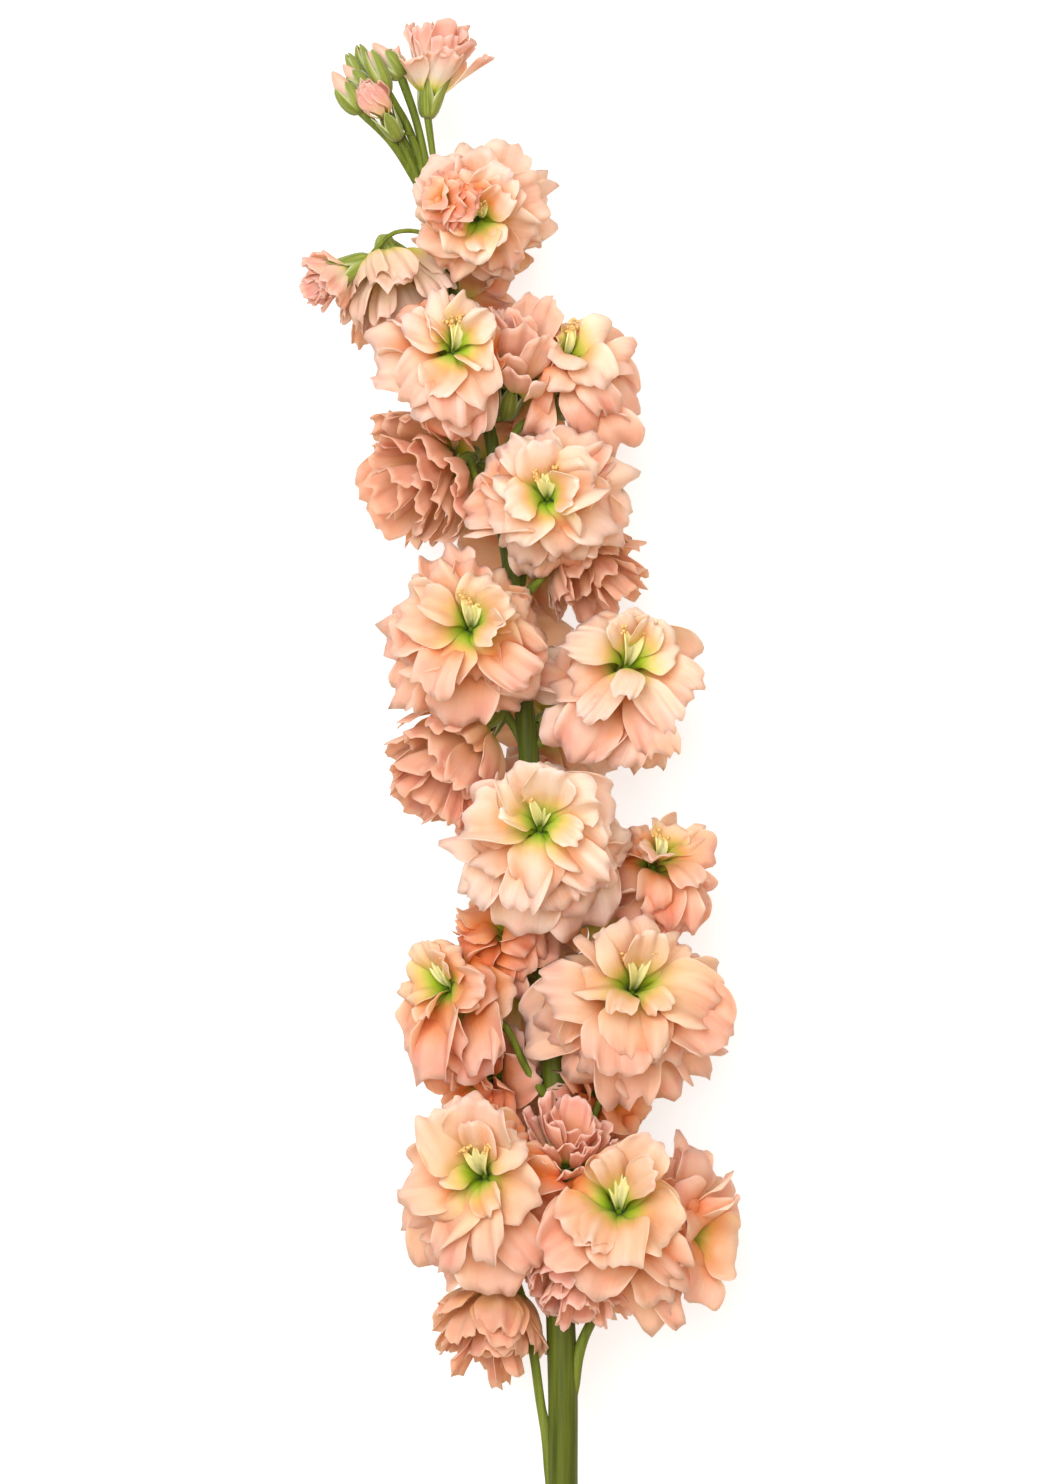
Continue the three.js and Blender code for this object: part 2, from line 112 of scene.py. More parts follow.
@dataclass(frozen=True)
class Whorl:
    """One ring of petals. Lengths are in radii of the bloom.

    line is a petal's middle line as [out, up] of a Bezier curve, from its foot to its rim.
    hollow bends its sides up, and below 0 down. tone is added to the bloom's pink. grid is
    how many faces a petal has along and across, and warm is how strongly painted shade
    tints the part of a petal that the next whorl covers.
    """

    count: int
    line: Line
    half_width: float
    hollow: float
    tone: float
    grid: tuple[int, int] = (9, 18)
    warm: float = 0.3


@dataclass(frozen=True)
class Form:
    """What all blooms of one habit share. Lengths are in radii of the bloom.

    seat is how deep the petals' foot lies, and core how tall the body is that they grow from.
    throat is how far up the throat lies where the picture doesn't give it. organs is how many
    narrow petals stand in it and organ_foot the height they start at. calyx is the share of
    its sepals below the seat, and flare how far their points spread. green is how much of a
    petal's green foot is left out, calm how strong its waves are and blush how pink its rim.
    lit is the light in the deepest place, and what full light adds to it.
    """

    whorls: tuple[Whorl, ...]
    seat: float = 0.38
    core: float = 0.22
    throat: float = 0.0
    organs: int = 0
    organ_foot: float = 0.0
    calyx: float = 1.0
    flare: float = 0.0
    green: float = 0.0
    calm: float = 1.0
    blush: float = 0.12
    lit: Range = (0.0, 1.0)


COARSE, FINE = (7, 13), (11, 24)
FULL_WHORLS = (
    Whorl(7, ((0.05, -0.36), (0.26, -0.24), (0.78, -0.04), (1.06, -0.48)), 0.40, 0.02, 0.26),
    Whorl(6, ((0.05, -0.32), (0.22, -0.04), (0.72, 0.18), (1.03, -0.18)), 0.40, 0.02, 0.20),
    Whorl(6, ((0.04, -0.22), (0.16, 0.20), (0.58, 0.42), (0.95, 0.12)), 0.37, 0.04, 0.06, FINE),
    Whorl(6, ((0.03, 0.10), (0.14, 0.36), (0.42, 0.60), (0.82, 0.38)), 0.33, 0.06, -0.06, FINE, 0),
    Whorl(3, ((0.03, 0.12), (0.10, 0.42), (0.28, 0.70), (0.56, 0.72)), 0.25, 0.15, -0.14, FINE, 0),
)
SIDE_WHORLS = (
    Whorl(7, ((0.06, -0.36), (0.40, -0.16), (1.06, 0.10), (0.96, -0.82)), 0.44, 0.0, 0.20, FINE),
    Whorl(7, ((0.05, -0.32), (0.30, 0.04), (0.98, 0.34), (1.00, -0.38)), 0.42, 0.0, 0.12),
    Whorl(6, ((0.05, -0.26), (0.18, 0.22), (0.74, 0.58), (0.92, 0.06)), 0.38, 0.04, 0.04, FINE),
    Whorl(5, ((0.04, 0.0), (0.12, 0.34), (0.40, 0.70), (0.68, 0.50)), 0.32, 0.06, -0.04),
)
UNDER_WHORLS = (
    Whorl(7, ((0.06, -0.36), (0.26, -0.24), (0.78, -0.06), (1.06, -0.50)), 0.38, 0.0, 0.24, COARSE),
    Whorl(6, ((0.05, -0.32), (0.18, 0.00), (0.66, 0.28), (1.00, -0.08)), 0.38, 0.0, 0.1, COARSE),
    Whorl(5, ((0.04, -0.26), (0.10, 0.20), (0.42, 0.48), (0.80, 0.30)), 0.34, 0.05, 0.0, COARSE),
)
SMALL_WHORLS = (
    Whorl(6, ((0.06, -0.36), (0.30, -0.20), (0.92, 0.02), (1.04, -0.62)), 0.40, 0.0, 0.24),
    Whorl(6, ((0.05, -0.32), (0.20, 0.00), (0.76, 0.32), (1.00, -0.10)), 0.40, 0.0, 0.12),
    Whorl(5, ((0.04, -0.26), (0.10, 0.20), (0.42, 0.52), (0.76, 0.32)), 0.34, 0.05, 0.0),
)
ROSE_WHORLS = (
    Whorl(6, ((0.06, -0.36), (0.30, -0.22), (0.92, 0.00), (1.06, -0.54)), 0.46, 0.02, 0.1, warm=0),
    Whorl(5, ((0.05, -0.30), (0.26, -0.02), (0.84, 0.24), (1.04, -0.20)), 0.46, 0.04, 0.0, warm=0),
    Whorl(5, ((0.05, -0.22), (0.18, 0.18), (0.66, 0.48), (0.94, 0.12)), 0.44, 0.04, 0.0, FINE, 0),
    Whorl(4, ((0.04, -0.10), (0.12, 0.34), (0.50, 0.66), (0.84, 0.32)), 0.46, 0.04, 0.0, FINE, 0.1),
    Whorl(3, ((0.02, -0.02), (0.04, 0.40), (0.30, 0.74), (0.62, 0.52)), 0.46, 0.10, 0.0, FINE, 0.2),
)
FAN_WHORLS = (
    Whorl(9, ((0.10, -0.42), (0.50, -0.46), (0.95, -0.16), (1.12, 0.34)), 0.31, 0.10, 0.1, FINE, 0),
    Whorl(8, ((0.08, -0.42), (0.40, -0.26), (0.78, 0.14), (1.00, 0.60)), 0.31, 0.12, 0.0, warm=0.1),
    Whorl(6, ((0.06, -0.40), (0.26, -0.08), (0.52, 0.40), (0.76, 0.84)), 0.31, 0.15, 0.0, warm=0.1),
    Whorl(4, ((0.04, -0.38), (0.14, 0.06), (0.26, 0.56), (0.46, 1.00)), 0.31, 0.2, 0.0, warm=0.2),
)
CUP_WHORLS = (
    Whorl(5, ((0.10, -0.42), (0.40, -0.24), (0.80, 0.10), (1.14, 0.42)), 0.36, 0.10, 0.10, warm=0),
    Whorl(7, ((0.08, -0.42), (0.30, -0.12), (0.60, 0.34), (0.88, 0.74)), 0.34, 0.14, 0.05, warm=0),
    Whorl(7, ((0.06, -0.40), (0.22, 0.00), (0.40, 0.48), (0.58, 0.98)), 0.30, 0.20, 0.0, warm=0),
    Whorl(6, ((0.04, -0.38), (0.12, 0.06), (0.18, 0.56), (0.30, 1.06)), 0.26, 0.30, -0.05, warm=0),
)
BELL_WHORLS = (
    Whorl(9, ((0.10, -0.42), (0.50, -0.50), (0.90, -0.24), (1.14, 0.30)), 0.27, 0.12, 0.0, FINE, 0),
    Whorl(8, ((0.08, -0.42), (0.40, -0.30), (0.76, 0.10), (1.04, 0.56)), 0.28, 0.12, 0.0, warm=0),
    Whorl(6, ((0.06, -0.40), (0.28, -0.10), (0.50, 0.36), (0.74, 0.80)), 0.30, 0.20, 0.0, warm=0.2),
    Whorl(5, ((0.04, -0.38), (0.14, 0.06), (0.24, 0.50), (0.42, 0.92)), 0.28, 0.30, 0.0, warm=0.2),
)
BUD_WHORLS = (
    Whorl(5, ((0.10, -0.90), (0.95, -0.60), (0.95, 0.30), (0.40, 0.84)), 0.52, 0.60, 0.10),
    Whorl(4, ((0.06, -0.80), (0.60, -0.40), (0.60, 0.40), (0.22, 1.02)), 0.42, 0.60, 0.0),
)
FORMS = {
    Habit.FULL: Form(FULL_WHORLS, core=0.54, throat=0.12, organs=3, organ_foot=0.12),
    Habit.SIDE: Form(SIDE_WHORLS, throat=0.12, organs=2),
    Habit.ROSE: Form(ROSE_WHORLS, green=0.14, calm=0.8),
    Habit.UNDER: Form(UNDER_WHORLS),
    Habit.SMALL: Form(SMALL_WHORLS),
    Habit.CUP: Form(
        CUP_WHORLS, seat=0.45, calyx=0.55, flare=0.35, blush=0.9, lit=(0.5, 0.45)
    ),
    Habit.BELL: Form(
        BELL_WHORLS, seat=0.45, calyx=0.55, flare=0.35, green=-0.14, lit=(0.5, 0.45)
    ),
    Habit.FAN: Form(FAN_WHORLS, seat=0.45, green=-0.06, calm=0.8, lit=(0.28, 0.63)),
    Habit.BUD: Form(BUD_WHORLS, seat=0.9, lit=(0.5, 0.45)),
}

# Every bloom: its middle (x, y, rise above the stem), radius, the way its face looks (turn
# from +X round to +Y, lift from level), habit and tint. First those that show, from the tip
# down, then the opening bud, then those on the hidden side, from the foot up
BLOOMS = (
    (-25.2, 281.6, 1, 10, 80, 8, "cup", "CREAM"),
    (-15.2, 253.6, 8, 14.2, -80, 78, "full", "CREAM"),
    (-44.2, 241.6, 5, 6.9, 208, 8, "cup", "PEACH"),
    (-34.0, 240.4, 1, 12.8, 278, 8, "bell", "CREAM"),
    (-23.0, 223.0, 11.5, 13.4, 50, 66, "full", "CREAM"),
    (-8.0, 224.0, 3, 12, 75, 24, "fan", "CREAM"),
    (3.4, 220.2, 3, 13.2, 60, 54, "side", "CREAM"),
    (-25.4, 202.6, 1, 12.8, 206, 40, "fan", "PEACH"),
    (-2.2, 196.2, 11, 15.8, 100, 80, "full", "CREAM"),
    (5.0, 184.4, -3, 11.0, -50, 16, "fan", "PEACH"),
    (-19.6, 168.4, 11.5, 17.2, 85, 76, "full", "PEACH"),
    (11.4, 158.0, 8, 16.8, 62, 64, "full", "CREAM"),
    (-19.6, 146.4, 0, 14.2, 228, 18, "fan", "PEACH"),
    (-3.6, 127.6, 14, 18.6, 92, 72, "full", "CREAM"),
    (22.2, 120.6, 1, 11.8, 60, 52, "side", "PEACH"),
    (-11.0, 109.8, 0, 11.5, 120, 50, "rose", "ROSE"),
    (-20.6, 92.8, 4, 13.7, 150, 48, "full", "PEACH"),
    (15.2, 95.4, 11, 20, 68, 64, "full", "PEACH"),
    (-14.6, 80.4, -5, 11.5, 210, 40, "rose", "ROSE"),
    (8.8, 77.2, -4, 10.8, -20, 50, "rose", "ROSE"),
    (1.4, 67.4, 7, 9.8, 84, 34, "fan", "ROSE"),
    (-13.8, 57.8, 10, 18, 135, 72, "full", "PEACH"),
    (11.4, 49.8, 12, 18.2, 90, 62, "full", "PEACH"),
    (24.8, 51.0, 1, 16.2, -20, 46, "rose", "PEACH"),
    (3.6, 43.4, 7, 11.6, -92, 34, "fan", "PINK"),
    (-13.2, 34.0, 1, 12.4, 258, 14, "fan", "PEACH"),
    (-36.8, 276.2, 6, 4.2, 122, 20, "bud", "ROSE"),
    (8.0, 44.4, -14, 15, -60, -62, "under", "PINK"),
    (-8.0, 60.5, -15.6, 16, 150, -66, "under", "PEACH"),
    (1.5, 80.8, -16, 15, 20, -72, "under", "PEACH"),
    (-8.0, 99.0, -15, 15.5, 170, -64, "under", "PEACH"),
    (7.5, 115.5, -14.5, 16, 30, -62, "under", "PEACH"),
    (-7.5, 134.0, -14.5, 16, 150, -64, "under", "PEACH"),
    (1.0, 153.5, -14, 15.5, 20, -62, "under", "PEACH"),
    (-14.0, 170.0, -14.2, 14.5, 160, -60, "under", "PEACH"),
    (-4.5, 187.0, -13, 15, 30, -62, "under", "PEACH"),
    (-16.5, 204.5, -13.2, 13.5, 150, -58, "under", "PEACH"),
    (-7.0, 222.0, -11.5, 14, 30, -60, "under", "PEACH"),
    (-23.0, 236.0, -10.5, 13, 150, -58, "under", "PEACH"),
    (-15.5, 249.0, -8.5, 11.5, 20, -55, "small", "PEACH"),
)

# How much longer than wide a bloom's outline is, by bloom number
STRETCH = {5: 1.14, 8: 1.18, 17: 1.14, 18: 0.90, 22: 1.12, 23: 1.12}

# How much painted shade darkens the blooms that stand low between the others, in their shadow, from
# 0 to 1
SHADED_BLOOMS = {
    4: 0.3, 6: 0.15, 8: 0.6, 10: 0.6, 11: 0.12, 12: 0.1, 13: 0.6, 15: 0.2, 16: 0.45,
    17: 0.2, 18: 0.2, 19: 0.45, 20: 0.45, 22: 0.15, 23: 0.2, 24: 0.1, 26: 0.7,
}

# What is added to a bloom's seed, by bloom number
CHANCES = {2: 1, 7: 1, 8: 1}

# Tight hearts inside a bloom: middle, radius, turn and lift, by bloom number
HEARTS = {2: ((-21.8, 255.2, 17.2), 6.4, 170, 50)}
HEART_BLUSH = 0.3

# Where the throat of a bloom shows in the picture, in its pixels, by bloom number
THROATS = {
    2: (478, 222), 5: (455, 355), 7: (567, 352), 8: (424, 474), 9: (547, 500), 11: (472, 628),
    12: (627, 665), 14: (540, 825), 15: (660, 855), 17: (448, 967), 18: (632, 985),
    22: (484, 1173), 23: (618, 1207),
}

# The stem's axis seen from above, x and y, with the radius there
STEM_LINE = (
    (2.0, -70, 3.0), (1.0, -35, 3.0), (0.6, 0, 3.0), (0.6, 16.8, 3.0), (0.0, 36.8, 2.9),
    (-0.4, 56.8, 2.85), (-0.8, 78.2, 2.75), (-2.4, 100.8, 2.5), (-4.4, 122.8, 2.25),
    (-6.6, 149.8, 2.0), (-8.4, 166.8, 1.95), (-9.8, 183.6, 1.85), (-12.0, 196.8, 1.6),
    (-13.6, 207.8, 1.4), (-16.0, 218.8, 1.25), (-19.6, 232.8, 1.1), (-22.8, 244.8, 1.0),
    (-25.2, 253.8, 0.95), (-27.2, 261.0, 0.9),
)

# Where a flower stalk that shows leaves the stem, by bloom number
STALK_FROM = {
    1: 247, 3: 238, 7: 202, 8: 190, 9: 176, 17: 75, 18: 60, 22: 34, 24: 4, 26: -14, 27: 259,
}

# Places (x, y, rise, thickness) that a stalk passes between the stem and its flower
STALK_BENDS = {
    1: ((-25.2, 264.0, 1.0, 1),), 3: ((-28.6, 250.4, 2.5, 1), (-32.6, 250.2, 3.5, 1)),
    7: ((-7.5, 212.0, 1.0, 1),), 8: ((-17.5, 203.0, 1.0, 1),), 9: ((-3.2, 182.0, 3.0, 1),),
    17: ((-6.0, 82.0, 2.0, 1), (-11.5, 92.0, 2.5, 1)), 18: ((7.4, 75.0, 2.0, 1),),
    22: ((-4.8, 40.5, 2.0, 1),), 27: ((-30.8, 270.0, 2.0, 1),),
    24: ((1.7, 13.0, 0, 1.1), (2.7, 20.0, 0.4, 1.35), (3.7, 26.0, 0.6, 1.25),
         (4.9, 29.4, 0.6, 1.05), (6.6, 33.0, 0.6, 1), (8.3, 37.0, 0, 1)),
    26: ((-2.3, 1.0, 0, 0.8), (-2.8, 8.0, 0, 0.9), (-3.2, 12.4, 0, 1.1), (-3.6, 14.4, 0, 1),
         (-5.2, 25.4, 0, 1), (-6.6, 33.0, 0, 1)),
}
STALK_RADII = {24: 1.0, 26: 0.95}  # of single blooms
STALK_REACH = 11  # how far below a bloom the other stalks leave the stem
CALYX_RADIUS = 2.1
CALYX_LENGTH = 3.1  # in calyx radii

BOX_SHARE = 0.985  # the share of the room up to the CAD box that petals may take
NEAR = 1.2  # how near, in their radii, two blooms hold each other's petals in
OVERLAP = 1.18  # how far past its share of the room between them a bloom may reach
PRESS_FROM = 0.72  # the share of the way to a wall from which petals are pressed
STEM_ROOM = 0.4  # how far off the stem petals stay
THROAT_RISE = 0.2  # how far above the middle a throat lies, in radii
THROAT_FURTHEST = 0.42  # how far beside the middle a throat may lie, in radii
INNER_RISE = 0.3  # how much further the upper petals of a full bloom's middle stand up
ORGAN_THICK = 0.55  # of the narrow petals in a throat
SEED_STEP = 1009  # between the seeds of two blooms
UNMARKED = {"across": 0.0, "edge": 0.0, "warm": 0.0, "dim": 0.0}  # carried by round bodies

# The closed buds of the tip: foot and point (x, y, rise), radius, a point that the stalk
# passes and how far petals show at the point
BUDS = (
    ((-31.4, 281.4, 0.5), (-37.4, 288.2, 1.5), 2.3, (-29.4, 274.8, 0), 1.0),
    ((-34.4, 277.8, 2.4), (-38.6, 287.2, 4.0), 1.9, (-31.2, 272.6, 1.2), 0.3),
    ((-38.0, 281.4, -0.8), (-40.4, 288.2, -0.8), 1.5, (-31.6, 273.8, -0.6), 0.0),
    ((-39.8, 281.0, 0.8), (-42.6, 286.2, 1.0), 1.2, (-32.8, 271.6, 0.4), 0.0),
    ((-38.0, 278.2, 2.2), (-43.4, 283.8, 1.8), 1.9, (-33.4, 271.0, 1.6), 1.0),
    ((-39.8, 274.0, 3.4), (-45.4, 282.0, 5.4), 2.3, (-34.2, 268.8, 2.4), 1.0),
)
BUDS_FROM = 258  # where their stalks leave the stem


def linear(red: float, green: float, blue: float) -> tuple[float, float, float, float]:
    """Turns a colour of 0 to 255 as a screen shows it into Blender's linear colour."""
    parts = [value / 255 for value in (red, green, blue)]
    lit = [p / 12.92 if p <= 0.04045 else ((p + 0.055) / 1.055) ** 2.4 for p in parts]
    return (*lit, 1.0)


def smooth_step(value: Array | float, low: float, high: float) -> Array:
    """Rises smoothly from 0 at low to 1 at high."""
    share = np.clip((np.asarray(value, float) - low) / (high - low), 0.0, 1.0)
    return share * share * (3 - 2 * share)


def direction(turn: float, lift: float) -> Array:
    """The unit vector at a turn from +X and a lift from level, both in degrees."""
    a, b = math.radians(turn), math.radians(lift)
    return np.array([math.cos(a) * math.cos(b), math.sin(a) * math.cos(b), math.sin(b)])


def normalised(vectors: Array) -> Array:
    """Scales every vector of an array to a length of 1."""
    return vectors / np.maximum(np.linalg.norm(vectors, axis=-1, keepdims=True), TINY)


def bezier(line: Sequence[Sequence[float]], t: Array) -> tuple[Array, Array]:
    """A cubic curve and its direction.

    Args:
        line: its four control points.
        t: the shares of the way along, any shape.

    Returns:
        The points and the unit tangents, each of t's shape with the coordinates last.
    """
    p0, p1, p2, p3 = (np.array(p, float) for p in line)
    t = t[..., None]
    point = (1 - t) ** 3 * p0 + 3 * (1 - t) ** 2 * t * p1 + 3 * (1 - t) * t**2 * p2 + t**3 * p3
    slope = (1 - t) ** 2 * (p1 - p0) + 2 * (1 - t) * t * (p2 - p1) + t**2 * (p3 - p2)
    return point, normalised(slope)


def rounded(
    foot: Array, axis: Array, out: Array, angle: Array, height: Array
) -> Array:
    """Places round an axis.

    Args:
        foot: where the axis starts.
        axis: its direction.
        out: how far off the axis the places are.
        angle: how far round it.
        height: how far along it.

    Returns:
        The places, with the coordinates last.
    """
    side = normalised(np.cross(axis, [0.31, 0.17, 0.93]))  # a way that no axis here has
    up = np.cross(axis, side)
    off = (out * np.cos(angle))[..., None] * side + (out * np.sin(angle))[..., None] * up
    return foot + off + height[..., None] * axis


def stem_at(y: Array | float) -> tuple[Array, Array]:
    """The stem's axis and radius at a height along it, or at an array of heights."""
    knots = np.array(STEM_LINE)
    x, radius = (np.interp(y, knots[:, 1], knots[:, k]) for k in (0, 2))
    return np.stack([x, y, 0 * x + STEM_HEIGHT], -1), radius


def above_stem(place: Sequence[float]) -> Array:
    """A point given as x, y and its rise above the stem."""
    return np.array([place[0], place[1], STEM_HEIGHT + place[2]])


def frame_shift() -> Array:
    """From the designed coordinates to the frame's, in millimetres."""
    low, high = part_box("stem")
    return np.array([high.x / MM - STEM_SIDE_X, low.y / MM - STEM_FOOT_Y, 0.0])


SHIFT = frame_shift()


def in_scene(name: str, data: bpy.types.ID) -> Object:
    """A new object of this data, in the scene."""
    made = bpy.data.objects.new(name, data)
    bpy.context.scene.collection.objects.link(made)
    return made


class Graph:
    """Adds nodes to a shader or geometry tree."""

    def __init__(self, tree: bpy.types.NodeTree) -> None:
        """Takes the tree that the nodes go into."""
        self.tree = tree

    def node(self, kind: str, settings: Values = None, inputs: Values = None) -> bpy.types.Node:
        """Adds one node.

        Args:
            kind: the node's type, such as ShaderNodeMath.
            settings: its properties, or a list of stops under "stops" for a colour ramp.
            inputs: the value or the link of each socket, by name or number.

        Returns:
            The new node.
        """
        made = self.tree.nodes.new(kind)
        for name, value in (settings or {}).items():
            if name == "stops":
                self.set_stops(made.color_ramp, value)
            else:
                setattr(made, name, value)
        for name, value in (inputs or {}).items():
            if isinstance(value, Number):
                value = value.socket
            if isinstance(value, Socket):
                self.tree.links.new(value, made.inputs[name])
            else:
                made.inputs[name].default_value = value
        return made

    def out(self, kind: str, settings: Values = None, inputs: Values = None) -> Socket:
        """The first output of a new node, which takes what node takes."""
        return self.node(kind, settings, inputs).outputs[0]

    def vector(self, operation: str, inputs: Values) -> Socket:
        """Adds a Vector Math node of this operation."""
        return self.out("ShaderNodeVectorMath", {"operation": operation}, inputs)

    @staticmethod
    def set_stops(ramp: bpy.types.ColorRamp, stops: Sequence[tuple[float, Sequence]]) -> None:
        """Gives a colour ramp its stops, each a place and a colour."""
        while len(ramp.elements) < len(stops):
            ramp.elements.new(0.5)
        for element, (place, colour) in zip(ramp.elements, stops):
            element.position, element.color = place, colour


class Number:
    """A socket's value, on which Python's operators add Math nodes."""

    def __init__(self, graph: Graph, socket: Socket) -> None:
        """Takes the graph to add to and the socket to read."""
        self.graph = graph
        self.socket = socket

    def math(self, operation: str, *values: Any) -> "Number":
        """Adds a Math node of this operation on the values."""
        settings, inputs = {"operation": operation}, dict(enumerate(values))
        return Number(self.graph, self.graph.out("ShaderNodeMath", settings, inputs))

    def __add__(self, other: Any) -> "Number":
        """self + other."""
        return self.math("ADD", self, other)

    __radd__ = __add__

    def __sub__(self, other: Any) -> "Number":
        """self - other."""
        return self.math("SUBTRACT", self, other)

    def __rsub__(self, other: Any) -> "Number":
        """other - self."""
        return self.math("SUBTRACT", other, self)

    def __mul__(self, other: Any) -> "Number":
        """self * other."""
        return self.math("MULTIPLY", self, other)

    __rmul__ = __mul__

    def __truediv__(self, other: Any) -> "Number":
        """self / other."""
        return self.math("DIVIDE", self, other)

    def rising(self, low: float, high: float) -> "Number":
        """Rises smoothly from 0 at low to 1 at high."""
        share = ((self - low) / (high - low)).clamped()
        return share * share * (3.0 - 2.0 * share)

    def clamped(self) -> "Number":
        """Kept between 0 and 1."""
        return self.math("MINIMUM", self.math("MAXIMUM", self, 0.0), 1.0)


class Shader(Graph):
    """A material's node tree with a Principled shader."""

    def __init__(self, name: str) -> None:
        """Makes the material and empties its tree."""
        self.material = bpy.data.materials.new(name)
        self.material.use_nodes = True
        super().__init__(self.material.node_tree)
        self.tree.nodes.clear()

    def attribute(self, name: str) -> Number:
        """Reads a value that the mesh carries."""
        made = self.node("ShaderNodeAttribute", {"attribute_name": name})
        return Number(self, made.outputs["Fac"])

    def place(self, scale: Sequence[float]) -> Socket:
        """Object coordinates, scaled."""
        where = self.node("ShaderNodeTexCoord").outputs["Object"]
        return self.vector("MULTIPLY", {0: where, 1: tuple(scale)})

    def joined(self, x: Any, y: Any, z: Any) -> Socket:
        """A vector of three values."""
        return self.out("ShaderNodeCombineXYZ", None, {0: x, 1: y, 2: z})

    def noise(self, where: Socket, detail: float) -> Number:
        """Smooth noise from 0 to 1 at a place that is scaled already."""
        inputs = {"Vector": where, "Scale": 1.0, "Detail": detail}
        return Number(self, self.out("ShaderNodeTexNoise", None, inputs))

    def ramp(self, factor: Any, stops: Sequence[tuple[float, Sequence]]) -> Socket:
        """A colour ramp read at factor."""
        return self.out("ShaderNodeValToRGB", {"stops": stops}, {0: factor})

    def mix(self, factor: Any, first: Any, second: Any, way: str = "MIX") -> Socket:
        """The first colour at factor 0, and at 1 the second, or with MULTIPLY their product."""
        settings = {"data_type": "RGBA", "blend_type": way}
        made = self.node("ShaderNodeMix", settings, {0: factor, 6: first, 7: second})
        return made.outputs[2]

    def bump(self, height: Any, distance: float, strength: float) -> Socket:
        """A normal that is tilted by a height, distance being metres for a height of 1."""
        inputs = {"Strength": strength, "Distance": distance, "Height": height}
        return self.out("ShaderNodeBump", None, inputs)

    def finish(
        self, values: dict[str, Any], through: Sequence[float] | None = None, share: float = 0.0
    ) -> Material:
        """Ends the tree.

        Args:
            values: the Principled shader's sockets.
            through: the colour of the light that passes through, if any.
            share: how much of the light takes that way.

        Returns:
            The material.
        """
        surface = self.out("ShaderNodeBsdfPrincipled", None, values)
        if through is not None:
            inputs = {"Color": through, "Normal": values["Normal"]}
            beyond = self.out("ShaderNodeBsdfTranslucent", None, inputs)
            surface = self.out("ShaderNodeMixShader", None, {0: share, 1: surface, 2: beyond})
        self.node("ShaderNodeOutputMaterial", None, {"Surface": surface})
        return self.material


